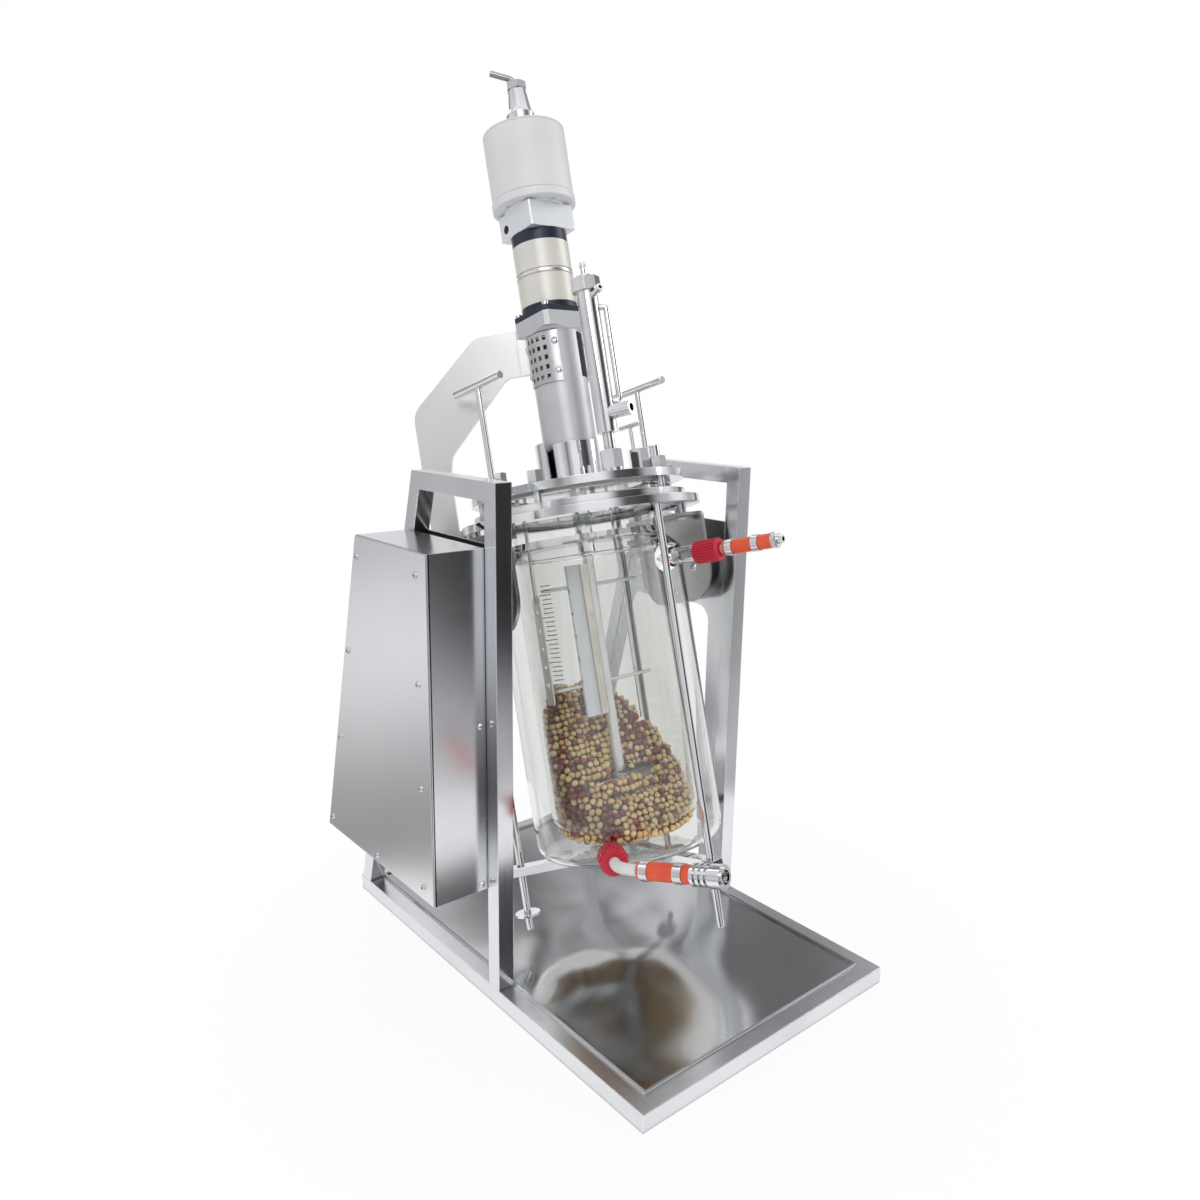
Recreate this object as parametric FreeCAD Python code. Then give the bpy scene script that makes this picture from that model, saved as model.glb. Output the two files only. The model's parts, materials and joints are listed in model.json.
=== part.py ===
"""Bench bioreactor for solid cultures.

A jacketed glass vessel with a top drive hangs by two trunnions between the side frames
of a tubular stand, and a gear drive in a sheet box tips it.

Frame: millimetres, +Z up, +X to the right, +Y to the rear. The origin is on the
underside of the base, in the middle of the cross tube that ties the two front posts.
The vessel and all that tips with it are modelled upright about their own axis, with
z = 0 at the underside of the glass, and are then tipped and hung on the trunnions.
"""
import FreeCAD, Part
import math
import os

V = FreeCAD.Vector

# ---- stand -------------------------------------------------------------------
base_width = 355.0
base_depth = 542.0
tube = 19.0                 # square tube of the whole stand
tube_wall = 1.5
post_setback = 225.5        # front of the base to the front of the posts
stand_height = 553.0
rail_length = 157.5         # top rail, from the front of the post to its rear end
rear_foot_margin = 3.5      # rear of the slanted post to the rear of the base
rear_cross_y = 195.0        # second cross tube under the tray, from the origin
drain_r = 2.5

tray_gap = 0.4              # tray to the tubes round it
tray_sheet = 1.2
tray_hem_height = 2.2
tray_hem_width = 3.0

side_plate_sheet = 2.0
side_plate_top = 488.5
side_plate_leg = 21.0       # width of the plate's legs beside the posts
side_plate_arch = 382.0     # underside of the plate's bridge
side_plate_arch_r = 20.0
side_plate_fit = 0.2        # plate to the tubes round it
side_plate_inset = 0.5      # plate's inner face behind the tube's inner face

# ---- tilt axis -----------------------------------------------------------------
pivot_y = 63.3
pivot_z = 425.0
pivot_on_vessel = 298.0     # height of the tilt axis above the underside of the glass
rest_tilt = 15.0            # the vessel leans back by this angle at rest

# ---- drive box on the left side frame ---------------------------------------------
box_depth = 64.0            # how far it stands out of the frame
box_sheet = 1.5
box_bottom = 130.0
box_top = 489.0
box_front_gap = 0.5         # front of the box to the rear of the post
box_top_length = 145.0
box_rear_low = 254.0        # lower rear corner, from the origin
box_lip = 12.0              # folded lip that the side panel is screwed to
panel_sheet = 1.2
panel_margin = 0.8
screw_head_r = 3.6
screw_head_h = 2.4
screw_edge = 9.0            # screw centres to the panel's rear edge
screw_front = 20.0          # screw centres to the panel's front edge
lip_screw_heights = (136.6, 309.5)
lip_screw_in = 6.5          # screws on the front face, from the frame

gearbox_width = 64.0
gearbox_depth = 50.0
tilt_motor_r = 27.0
tilt_motor_length = 150.0
trunnion_r = 8.0
trunnion_hub_r = 15.0
trunnion_flange_r = 37.0
trunnion_flange_t = 6.0
trunnion_screw_circle_r = 28.0
bearing_r = 28.0
bearing_t = 12.0
running_gap = 0.05          # radial clearance of every shaft in its bore

# ---- glass vessel (heights above its underside) ----------------------------------
jacket_r = 105.7
jacket_wall = 3.2
jacket_foot_r = 17.0
jacket_top = 326.0          # where the jacket's shoulder starts
shoulder_rise = 18.0
shoulder_r = 9.0
seam_rise = 6.0             # height of the fused seam round the neck
bore_r = 80.0
inner_wall = 3.6
dish_bottom = 15.0          # lowest point of the bore
dish_knuckle = 34.0         # where the dished bottom meets the straight bore
dish_knuckle_r = 14.0
neck_flange_r = 105.0
neck_flange_t = 9.7
neck_flange_z = 386.3

# ---- flange stack ----------------------------------------------------------------
ring_t = 8.6
carrier_z = 368.8
carrier_margin = 7.3        # ring's edge beyond the leg axes
carrier_bore_r = 107.2
clamp_r = 120.0
clamp_bore_r = 86.0
gasket_t = 2.4
lid_r = 120.0
stud_circle_r = 111.0
stud_r = 4.0
stud_azimuths = (-150.0, -75.0, -20.0, 40.0, 100.0, 160.0)
nut_r = 8.8                 # across the corners
nut_h = 13.0

# ---- legs and spider ---------------------------------------------------------------
leg_clearance = 21.3        # leg axes to the jacket
leg_r = 4.0
leg_bottom = -75.0
leg_azimuths = (-90.0, 30.0, 150.0)
spider_z = -13.0
spider_bar_h = 10.0
spider_bar_w = 14.0
spider_overhang = 10.0
pad_r = 9.0
leg_disc_r = 14.0
leg_disc_t = 2.5
leg_disc_z = -58.0

# ---- cradle -------------------------------------------------------------------------
cradle_x = 139.5            # outer face of a cradle plate
cradle_sheet = 4.0
cradle_half_width = 54.0
cradle_bottom = 257.0
cradle_top = 363.0
cradle_corner_r = 40.0
cradle_flange_in = 31.0
cradle_flange_half = 46.0
cradle_bolt_b = 34.0
spacer_r = 7.0

# ---- head: collar, lantern, motor -------------------------------------------------
collar_r = 31.8
collar_h = 48.0
collar_foot_h = 7.0
collar_foot_r = 29.0
sleeve_r = 10.0
sleeve_drop = 57.0          # how far the shaft sleeve reaches below the lid's underside
sleeve_bush = 12.0          # running length at the foot of the sleeve
bearing_out_r = 16.0
shaft_bearing_t = 10.0
shaft_seal_t = 6.0
shield_r = 39.0
shield_t = 1.2
shield_from = 100.0
shield_to = 186.0

lantern_r = 30.3
lantern_bore_r = 25.0
lantern_h = 127.0
square = 62.0               # lantern flange, gear flange
square_chamfer = 4.5
lantern_flange_h = 16.0
lantern_blend_h = 3.6
gear_flange_h = 12.0
gear_plate_h = 6.0          # square part of the gear flange; the rest is round
gearhead_r = 31.5
gearhead_h = 68.0
motor_ring_r = 31.0
motor_ring_h = 13.0
adapter_side = 60.0
adapter_h = 27.0
adapter_neck_h = 2.5
adapter_chamfer = 1.2
adapter_hole_r = 4.7
adapter_hole_y = 18.0
adapter_hole_rise = 11.0
can_r = 45.8
can_h = 85.0
can_band = 9.0              # height of the lower band, which stands out by can_step
can_step = 1.0
can_rim = 2.2               # rounded rim at the top, over a fine groove
can_screw_circle_r = 37.0
can_screw_clear = 0.8       # from the adapter's neck to the heads of the can screws
gland_base_r = 16.0
gland_base_h = 21.0
gland_shoulder_h = 5.0
gland_r = 13.2
gland_top_r = 10.1
gland_h = 49.5              # from the can to the foot of the ring nut
gland_nut_r = 12.2
gland_nut_h = 9.5
gland_mouth_r = 7.0
gland_tube_r = 3.3

guard_from = -214.0         # azimuths of the guard plate's two edges
guard_to = -120.5
guard_gap = 0.3
guard_sheet = 1.0
guard_h = 56.0
guard_top_drop = 4.0        # guard's top edge below the lantern flange
guard_columns = (-193.7, -179.3, -164.6, -149.5)
guard_rows = 5
guard_pitch = 10.65
guard_hole_w = 4.2
guard_hole_h = 5.0
guard_screw_azimuths = (-206.5, -128.2)
guard_screw_span = 32.0
guard_screw_r = 3.8
flange_screw_r = 3.8
flange_screw_at = 25.6      # screw axes from the middle of the flange
can_screw_r = 1.9

arm_azimuth = 135.0
arm_sheet = 5.0
arm_top = 591.0
arm_under = 540.0
arm_foot = 325.0
arm_outer_r = 173.0
arm_inner_r = 141.0
arm_front_r = 42.0
arm_corner_r = 12.0
arm_foot_h = 14.0
arm_pad_drop = 14.0
arm_foot_w = 16.0

# ---- fittings on the lid -------------------------------------------------------------
condenser_at = (-18.0, -88.0)
condenser_r = 11.0
condenser_wall = 1.4
condenser_body_z = 43.0     # above the lid
condenser_body_h = 148.0
condenser_cap_r = 15.5
condenser_cap_h = 13.5
condenser_nut_r = 12.3
condenser_neck_r = 6.0
return_tube_r = 3.0
return_tube_offset = 14.6
return_tube_azimuth = -42.0
return_tube_low = 32.0      # its lower bend above the condenser's foot
return_tube_drop = 18.0     # its upper bend below the cap
return_tube_bend = 3.4
condenser_socket_r = 7.3
condenser_socket_bore = 4.2
condenser_socket_rise = 20.0
condenser_socket_reach = 33.0
condenser_socket_azimuth = -72.0
condenser_barb_r = 3.0
condenser_barb_lip_r = 4.0
condenser_barb_bore = 2.0
condenser_barb_drop = 9.0
condenser_barb_reach = 25.0
condenser_barb_azimuth = -95.0
condenser_tip_r = 2.8
condenser_tip_h = 17.0
condenser_base_h = 5.7
condenser_nut_h = 19.3

handle_stem_r = 3.5
handle_bar_r = 4.3
left_handle_at = (-98.0, 20.0)
left_handle_h = 120.0
right_handle_at = (95.0, -20.0)
right_handle_h = 107.0
handle_bar_rear = 47.0
handle_bar_front = 45.0
small_handle_at = (58.0, -40.0)
small_handle_h = 60.0
small_handle_stem_r = 2.4
small_handle_bar_r = 2.9
small_handle_half = 17.5
# hexagon plugs of the unused ports: x, y, radius, height
plug_places = ((-103.0, -3.0, 7.6, 20.0), (23.0, -85.0, 11.6, 25.0), (52.0, -77.0, 8.2, 16.0),
               (0.0, 86.0, 9.6, 15.0), (66.0, 60.0, 9.6, 15.0))
tall_port_at = (70.0, -60.0)
tall_port_foot_r = 7.5
tall_port_r = 6.0
tall_port_foot_h = 12.0
tall_port_h = 33.0
tall_port_bore = 2.5

# ---- agitator ---------------------------------------------------------------------------
shaft_r = 6.0
shaft_bottom = 60.0
cross_rod_r = 2.0
rod_clearance = 12.0        # rod ends to the glass
cross_rod_heights = (186.0, 296.0)
paddle_inner = -8.0
paddle_outer = -36.0
paddle_bottom = 151.0
paddle_top = 320.0
paddle_t = 3.0
strip_w = 10.0
strip_t = 2.0
blade_half = 50.0
blade_w = 15.0
blade_t = 2.0
blade_z = 72.0
blade_pitch = 35.0
blade_hub_h = 18.0
output_shaft_r = 5.0
coupling_r = 19.0

# ---- fixed internals -----------------------------------------------------------------------
wall_clearance = 6.0        # strip and tube axes to the glass
baffle_azimuth = 176.0
baffle_w = 14.0
baffle_t = 1.6
baffle_top = 292.0
baffle_bottom = 172.0
baffle_hole_r = 3.0
baffle_pitch = 20.0
dip_tube_azimuth = 21.8
dip_tube_r = 2.0
dip_tube_bottom = 130.0
fill_gap = 0.5
heap_on_axis = 105.0        # height of the heap's surface on the vessel's axis
heap_slope = 49.0           # it rises to the rear
heap_clearance = 1.0        # beans to the parts that sweep past them
tube_channel_r = 4.0        # clear of beans round the dip tube

# ---- side ports (vessel axis to the point named) ------------------------------------------
upper_port_azimuth = -78.0
upper_port_z = 312.0
upper_nozzle_r = 9.0
upper_nozzle_bore = 5.5
upper_cap_r = 12.0
upper_cap_from = 147.0
upper_cap_length = 30.0
upper_hose_r = 7.5
upper_hose_from = 180.5
upper_hose_to = 236.0
upper_tip = 247.0
upper_clamps_from = (184.0, 214.0)
upper_clamp_w = 7.5
upper_spigot_r = 4.85       # the tube and the coupling's stem, inside the hose
upper_spigot_bore = 2.6
upper_spigot_lip_r = 8.6
upper_spigot_reach = 26.0   # beyond the cap
lower_port_at = (-90.0, -80.0, 18.0)     # middle of the lower cap
lower_port_azimuth = -122.0
lower_nozzle_r = 11.0
lower_nozzle_bore = 7.0
lower_cap_r = 15.0
lower_cap_length = 26.0      # its outer end stays 15 beyond the point above
lower_cap_reach = 15.0
lower_hose_azimuth = -76.5
lower_hose_r = 9.0
lower_hose_length = 59.7
lower_coupling_length = 35.0
lower_elbow_run = 21.6      # cap end to the corner of the elbow
lower_elbow_reach = 27.7    # corner to the start of the hose
lower_elbow_bend_r = 42.0
lower_elbow_r = 5.85
lower_elbow_bore = 4.0
lower_clamps_along = (3.0, 41.7)
lower_clamp_w = 9.5
coupling_bore = 6.6
coupling_bore_depth = 12.0
hose_fit = 0.05             # radial, hoses on their tubes
cap_ribs = 26


# ---- derived places -----------------------------------------------------------------------
half_width = base_width / 2
front_y = -(post_setback + tube / 2)
rear_y = front_y + base_depth
post_front = -tube / 2
post_rear = tube / 2
rail_rear = post_front + rail_length
rear_foot = rear_y - rear_foot_margin
slant = math.atan2(rear_foot - rail_rear, stand_height - tube)
slant_step = math.tan(slant)
frame_inner_x = half_width - tube
plate_x = frame_inner_x + side_plate_inset      # inner face of the right side plate

clamp_z = carrier_z + ring_t
gasket_z = neck_flange_z + neck_flange_t
lid_z = gasket_z + gasket_t
lid_top = lid_z + ring_t
collar_top = lid_top + collar_h
lantern_flange_z = collar_top + lantern_h
gear_flange_z = lantern_flange_z + lantern_flange_h
gearhead_z = gear_flange_z + gear_flange_h
motor_ring_z = gearhead_z + gearhead_h
adapter_z = motor_ring_z + motor_ring_h
can_z = adapter_z + adapter_h + adapter_neck_h
can_top = can_z + can_h
gland_top = can_top + gland_h
guard_top = lantern_flange_z - guard_top_drop
guard_mid = guard_top - guard_h / 2
inner_out_r = bore_r + inner_wall
inner_circle_r = bore_r - wall_clearance
cross_rod_half = bore_r - rod_clearance
leg_circle_r = jacket_r + leg_clearance
carrier_r = leg_circle_r + carrier_margin


# ---- helpers ------------------------------------------------------------------------------
def box(x0, x1, y0, y1, z0, z1):
    """Block between two corners."""
    return Part.makeBox(x1 - x0, y1 - y0, z1 - z0, V(x0, y0, z0))


def disc(r, z0, z1, x=0.0, y=0.0):
    """Upright cylinder."""
    return Part.makeCylinder(r, z1 - z0, V(x, y, z0), V(0, 0, 1))


def washer(r_out, r_in, z0, z1, x=0.0, y=0.0):
    """Upright ring."""
    return disc(r_out, z0, z1, x, y).cut(disc(r_in, z0 - 1, z1 + 1, x, y))


def rod(r, start, end):
    """Cylinder from one point to another."""
    line = end.sub(start)
    return Part.makeCylinder(r, line.Length, start, line)


def cone(r0, r1, z0, z1, x=0.0, y=0.0):
    """Upright cone frustum."""
    return Part.makeCone(r0, r1, z1 - z0, V(x, y, z0), V(0, 0, 1))


def polar(r, azimuth, z=0.0):
    """Point at a radius and azimuth about the Z axis."""
    angle = math.radians(azimuth)
    return V(r * math.cos(angle), r * math.sin(angle), z)


def turned(shape, azimuth):
    """Copy turned about the Z axis."""
    copy = shape.copy()
    copy.rotate(V(0, 0, 0), V(0, 0, 1), azimuth)
    return copy


def aimed(shape, start, direction):
    """Copy of a shape built up +Z from the origin, set at start to point along direction."""
    copy = shape.copy()
    place = FreeCAD.Placement(start, FreeCAD.Rotation(V(0, 0, 1), direction))
    copy.Placement = place.multiply(copy.Placement)
    return copy


def joined(shapes):
    """One solid of several that touch."""
    first = shapes[0]
    return first.multiFuse(list(shapes[1:])).removeSplitter()


def outline(points, place):
    """Face through (u, v, corner radius) points; place turns u and v into a point."""
    flat = [V(u, v, 0) for u, v, radius in points]
    corners = []
    for i, (u, v, radius) in enumerate(points):
        here = flat[i]
        if radius == 0:
            corners.append((here, None, here))
            continue
        back = flat[i - 1].sub(here).normalize()
        ahead = flat[(i + 1) % len(flat)].sub(here).normalize()
        half = back.getAngle(ahead) / 2
        reach = radius / math.tan(half)
        bisector = back.add(ahead).normalize()
        middle = here.add(bisector.multiply(radius / math.sin(half) - radius))
        start = here.add(V(back).multiply(reach))
        end = here.add(V(ahead).multiply(reach))
        corners.append((start, middle, end))
    edges = []
    for i, (start, middle, end) in enumerate(corners):
        if middle is not None:
            points_3d = [place(p.x, p.y) for p in (start, middle, end)]
            edges.append(Part.Arc(*points_3d).toShape())
        following = corners[(i + 1) % len(corners)][0]
        if end.distanceToPoint(following) > 1e-6:
            edges.append(Part.makeLine(place(end.x, end.y), place(following.x, following.y)))
    return Part.Face(Part.Wire(edges))


def plate_yz(points, x0, x1):
    """Plate from x0 to x1 with an outline of (y, z, corner radius) points."""
    return outline(points, lambda y, z: V(x0, y, z)).extrude(V(x1 - x0, 0, 0))


def lathe(points):
    """Solid turned about the Z axis from (radius, z, corner radius) points."""
    face = outline(points, lambda r, z: V(r, 0, z))
    return face.revolve(V(0, 0, 0), V(0, 0, 1), 360)


def hexagon(r, z0, z1, x=0.0, y=0.0, bevel=0.8):
    """Upright hexagon bar, its upper corners turned down."""
    points = [(r * math.cos(math.radians(60 * i)), r * math.sin(math.radians(60 * i)), 0)
              for i in range(6)]
    bar = outline(points, lambda u, v: V(u, v, z0)).extrude(V(0, 0, z1 - z0))
    dressed = disc(r, z0, z1 - bevel).fuse(cone(r, r - 2 * bevel, z1 - bevel, z1))
    bar = bar.common(dressed)
    bar.translate(V(x, y, 0))
    return bar


def chamfered_square(side, chamfer, z0, z1):
    """Upright square block with its four upright edges chamfered."""
    h = side / 2
    c = h - chamfer
    points = [(h, -c), (h, c), (c, h), (-c, h), (-h, c), (-h, -c), (-c, -h), (c, -h)]
    face = outline([(u, v, 0) for u, v in points], lambda u, v: V(u, v, z0))
    return face.extrude(V(0, 0, z1 - z0))


def dome_screw(r, h):
    """Low domed screw head, standing up +Z from the origin."""
    ball_r = (r * r + h * h) / (2 * h)
    ball = Part.makeSphere(ball_r, V(0, 0, h - ball_r))
    head = ball.common(disc(r, 0, h + 1))
    socket = disc(r * 0.42, h * 0.45, h + 1)
    return head.cut(socket)


def pipe(points, radii, r):
    """Round bar along straight runs joined by tangent arcs at the inner points."""
    edges = []
    here = points[0]
    for i in range(1, len(points) - 1):
        corner = points[i]
        back = points[i - 1].sub(corner).normalize()
        ahead = points[i + 1].sub(corner).normalize()
        half = back.getAngle(ahead) / 2
        reach = radii[i - 1] / math.tan(half)
        start = corner.add(V(back).multiply(reach))
        end = corner.add(V(ahead).multiply(reach))
        bisector = back.add(ahead).normalize()
        middle = corner.add(bisector.multiply(radii[i - 1] / math.sin(half) - radii[i - 1]))
        edges.append(Part.makeLine(here, start))
        edges.append(Part.Arc(start, middle, end).toShape())
        here = end
    edges.append(Part.makeLine(here, points[-1]))
    path = Part.Wire(edges)
    first = points[1].sub(points[0])
    circle = Part.Wire(Part.makeCircle(r, points[0], first))
    return path.makePipeShell([circle], True, True)


def sector(r_out, r_in, z0, z1, from_azimuth, to_azimuth):
    """Part of a ring between two azimuths."""
    swept = to_azimuth - from_azimuth
    outer = Part.makeCylinder(r_out, z1 - z0, V(0, 0, z0), V(0, 0, 1), swept)
    inner = Part.makeCylinder(r_in, z1 - z0 + 2, V(0, 0, z0 - 1), V(0, 0, 1), 360)
    return turned(outer.cut(inner), from_azimuth)


# ---- stand ----------------------------------------------------------------------------------
def frame_outline(g):
    """Side frame between its outer and inner lines, both moved g into the tube."""
    across = 1 / math.cos(slant)
    top = stand_height - g
    low = stand_height - tube + g

    def rear_line(z, inset):
        return rear_foot - (z - tube) * slant_step - inset * across

    outer = [(post_front + g, tube, 0), (post_front + g, top, 0),
             (rear_line(top, g), top, 0), (rear_line(tube, g), tube, 0)]
    inner = [(post_rear - g, tube, 0), (post_rear - g, low, 0),
             (rear_line(low, tube - g), low, 0), (rear_line(tube, tube - g), tube, 0)]
    return outer, inner


def side_frame(side):
    """Front post, top rail and slanted rear post of square tube, welded in one piece."""
    x0 = frame_inner_x
    x1 = half_width
    outer, inner = frame_outline(0.0)
    frame = plate_yz(outer, x0, x1).cut(plate_yz(inner, x0 - 1, x1 + 1))
    outer, inner = frame_outline(tube_wall)
    hollow = plate_yz(outer, x0 + tube_wall, x1 - tube_wall)
    hollow = hollow.cut(plate_yz(inner, x0, x1))
    frame = frame.cut(hollow)
    if side < 0:
        frame = frame.mirror(V(0, 0, 0), V(1, 0, 0))
    return frame


def base_frame():
    """Flat ladder of square tube under the whole machine."""
    def ladder(g):
        bars = []
        for x in (-half_width, frame_inner_x):
            bars.append(box(x + g, x + tube - g, front_y + g, rear_y - g, g, tube - g))
        for y in (front_y, post_front, rear_cross_y - tube / 2, rear_y - tube):
            bars.append(box(-half_width + g, half_width - g, y + g, y + tube - g, g, tube - g))
        return joined(bars)

    frame = ladder(0.0).cut(ladder(tube_wall))
    for x in (-half_width + tube / 2, half_width - tube / 2):
        frame = frame.cut(disc(drain_r, -1, tube_wall + 1, x, front_y + 2 * tube))
    return frame


def base_tray():
    """Polished sheet lying on the cross tubes inside the frame, its rim hemmed up."""
    x1 = frame_inner_x - tray_gap
    y0 = front_y + tube + tray_gap
    y1 = rear_y - tube - tray_gap
    top = tube + tray_sheet
    sheet = box(-x1, x1, y0, y1, tube, top)
    w = tray_hem_width
    rim = box(-x1, x1, y0, y1, top, top + tray_hem_height)
    rim = rim.cut(box(-x1 + w, x1 - w, y0 + w, y1 - w, top, top + tray_hem_height))
    return joined([sheet, rim])


def side_plate_points(bottom, arched):
    """Outline of a side plate inside the window of its frame."""
    across = (tube + side_plate_fit) / math.cos(slant)

    def rear(z):
        return rear_foot - (z - tube) * slant_step - across

    y0 = post_rear + side_plate_fit
    outer = [(y0, bottom, 0), (y0, side_plate_top, 0),
             (rear(side_plate_top), side_plate_top, 0), (rear(bottom), bottom, 0)]
    if not arched:
        return outer, None
    leg = side_plate_leg
    arch = [(y0 + leg, bottom - 1, 0), (y0 + leg, side_plate_arch, side_plate_arch_r),
            (rear(side_plate_arch) - leg, side_plate_arch, side_plate_arch_r),
            (rear(bottom - 1) - leg, bottom - 1, 0)]
    return outer, arch


def right_side_plate():
    """Sheet portal that carries the right trunnion bearing."""
    outer, arch = side_plate_points(tube + side_plate_fit, True)
    x1 = plate_x + side_plate_sheet
    plate = plate_yz(outer, plate_x, x1).cut(plate_yz(arch, plate_x - 1, x1 + 1))
    return plate.cut(trunnion_hole(1))


def left_side_plate():
    """Closed sheet behind the drive box; it carries the left bearing and the gearbox."""
    outer, arch = side_plate_points(box_bottom, False)
    plate = plate_yz(outer, -plate_x - side_plate_sheet, -plate_x)
    return plate.cut(trunnion_hole(-1))


def trunnion_hole(side):
    """Clearance hole for a trunnion through a side plate."""
    start = V(side * (plate_x - 5), pivot_y, pivot_z)
    end = V(side * (plate_x + side_plate_sheet + 5), pivot_y, pivot_z)
    return rod(trunnion_r + 2, start, end)


# ---- drive box ---------------------------------------------------------------------------------
def box_points(inset):
    """Side view of the drive box, moved in by inset all round."""
    front = post_rear + box_front_gap
    rear_top = front + box_top_length
    height = box_top - box_bottom
    lean = math.atan2(box_rear_low - rear_top, height)
    shift = inset / math.cos(lean)

    def rear(z):
        return box_rear_low - (z - box_bottom) * math.tan(lean) - shift

    low = box_bottom + inset
    high = box_top - inset
    return [(front + inset, low, 0), (front + inset, high, 0), (rear(high), high, 0),
            (rear(low), low, 0)]


def drive_box_shell():
    """Sheet casing, open to the frame, with a folded lip round its outer side."""
    x0 = -half_width - box_depth + panel_sheet
    x1 = -half_width
    shell = plate_yz(box_points(0.0), x0, x1)
    shell = shell.cut(plate_yz(box_points(box_sheet), x0 + box_sheet, x1 + 1))
    return shell.cut(plate_yz(box_points(box_lip), x0 - 1, x0 + box_sheet + 1))


def drive_box_panel():
    """Flat outer side panel."""
    x0 = -half_width - box_depth
    return plate_yz(box_points(panel_margin), x0, x0 + panel_sheet)


def panel_screw_places():
    """Nine places round the panel: four up each long edge and one below."""
    inner = box_points(screw_edge)
    front_low, front_high, rear_high, rear_low = [(y, z) for y, z, radius in inner]
    shift = screw_front - screw_edge
    lines = (((front_low[0] + shift, front_low[1]), (front_high[0] + shift, front_high[1])),
             (rear_low, rear_high))
    places = []
    for low, high in lines:
        for i in range(4):
            share = 0.015 + i * 0.315
            places.append((low[0] + (high[0] - low[0]) * share, low[1] + (high[1] - low[1]) * share))
    places.append(((front_low[0] + rear_low[0]) / 2, front_low[1]))
    return places


def drive_box_screws():
    """Dome-headed screws of the side panel, and two on the front face beside the post."""
    head = dome_screw(screw_head_r, screw_head_h)
    x = -half_width - box_depth
    screws = [aimed(head, V(x, y, z), V(-1, 0, 0)) for y, z in panel_screw_places()]
    front = post_rear + box_front_gap
    for z in lip_screw_heights:
        screws.append(aimed(head, V(-half_width - lip_screw_in, front, z), V(0, -1, 0)))
    return screws


def tilt_gearbox():
    """Right-angle gearbox on the left side plate, its hollow output on the tilt axis."""
    x1 = -plate_x - side_plate_sheet
    x0 = x1 - gearbox_depth
    h = gearbox_width / 2
    body = box(x0, x1, pivot_y - h, pivot_y + h, pivot_z - h, pivot_z + h)
    upright = [e for e in body.Edges if abs(e.tangentAt(e.FirstParameter).x) > 0.9]
    body = body.makeFillet(6.0, upright)
    boss = rod(h * 0.7, V(x0 - 3, pivot_y, pivot_z), V(x0, pivot_y, pivot_z))
    bore = rod(trunnion_r + running_gap, V(x0 - 4, pivot_y, pivot_z), V(x1 + 1, pivot_y, pivot_z))
    return joined([body, boss]).cut(bore)


def tilt_motor():
    """Motor hanging under the gearbox."""
    x = -plate_x - side_plate_sheet - gearbox_depth / 2
    top = pivot_z - gearbox_width / 2
    r = min(tilt_motor_r, gearbox_depth / 2 - 0.5)
    motor = disc(r, top - tilt_motor_length, top, x, pivot_y)
    rear_cap = disc(r * 0.8, top - tilt_motor_length - 8, top - tilt_motor_length, x, pivot_y)
    return joined([motor, rear_cap])


def bearing(side):
    """Flanged bearing on the inner face of a side plate."""
    x0 = plate_x - bearing_t
    flange = rod(bearing_r, V(plate_x - 5, pivot_y, pivot_z), V(plate_x, pivot_y, pivot_z))
    boss = rod(bearing_r * 0.72, V(x0, pivot_y, pivot_z), V(plate_x, pivot_y, pivot_z))
    bore = rod(trunnion_r + running_gap, V(x0 - 1, pivot_y, pivot_z), V(plate_x + 1, pivot_y, pivot_z))
    unit = joined([flange, boss]).cut(bore)
    if side < 0:
        unit = unit.mirror(V(0, 0, 0), V(1, 0, 0))
    return unit


# ---- cradle and trunnions (upright vessel frame from here on) ----------------------------------
def trunnion(side):
    """Flange, hub and journal on the outside of a cradle plate."""
    z = pivot_on_vessel
    x = cradle_x
    flange = rod(trunnion_flange_r, V(x, 0, z), V(x + trunnion_flange_t, 0, z))
    hub_end = plate_x - bearing_t - 0.5
    hub = rod(trunnion_hub_r, V(x, 0, z), V(hub_end, 0, z))
    reach = plate_x + side_plate_sheet + (3.0 if side > 0 else gearbox_depth)
    journal = rod(trunnion_r, V(x, 0, z), V(reach, 0, z))
    piece = joined([flange, hub, journal])
    if side < 0:
        piece = piece.mirror(V(0, 0, 0), V(1, 0, 0))
    return piece


def cradle_plate(side):
    """Plate with rounded lower corners and a flange folded in under the carrier ring."""
    w = cradle_half_width
    points = [(-w, cradle_bottom, cradle_corner_r), (w, cradle_bottom, cradle_corner_r),
              (w, cradle_top, 6.0), (-w, cradle_top, 6.0)]
    x0 = cradle_x - cradle_sheet
    plate = plate_yz(points, x0, cradle_x)
    flange = box(cradle_x - cradle_flange_in, cradle_x - 1, -cradle_flange_half,
                 cradle_flange_half, cradle_top - cradle_sheet, cradle_top)
    piece = joined([plate, flange])
    if side < 0:
        piece = piece.mirror(V(0, 0, 0), V(1, 0, 0))
    return piece


def cradle_screws():
    """Dome-headed screws that fix the trunnion flanges, seen inside the cradle plates."""
    head = dome_screw(5.5, 3.4)
    screws = []
    x = cradle_x - cradle_sheet
    r = trunnion_screw_circle_r
    for side in (-1, 1):
        for b, rise in ((-r, 0), (r, 0), (0, r), (0, -r)):
            place = V(side * x, b, pivot_on_vessel + rise)
            screws.append(aimed(head, place, V(-side, 0, 0)))
    return screws


def cradle_bolts():
    """Spacers and heads of the bolts up to the carrier ring, and the trunnions' dome screws."""
    bolts = cradle_screws()
    x = cradle_x - cradle_flange_in * 0.55
    for side in (-1, 1):
        for b in (-cradle_bolt_b, cradle_bolt_b):
            spacer = disc(spacer_r, cradle_top, carrier_z, side * x, b)
            head = hexagon(spacer_r, cradle_top - cradle_sheet - 5, cradle_top - cradle_sheet,
                           side * x, b)
            bolts.extend([spacer, head])
    return bolts


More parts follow.
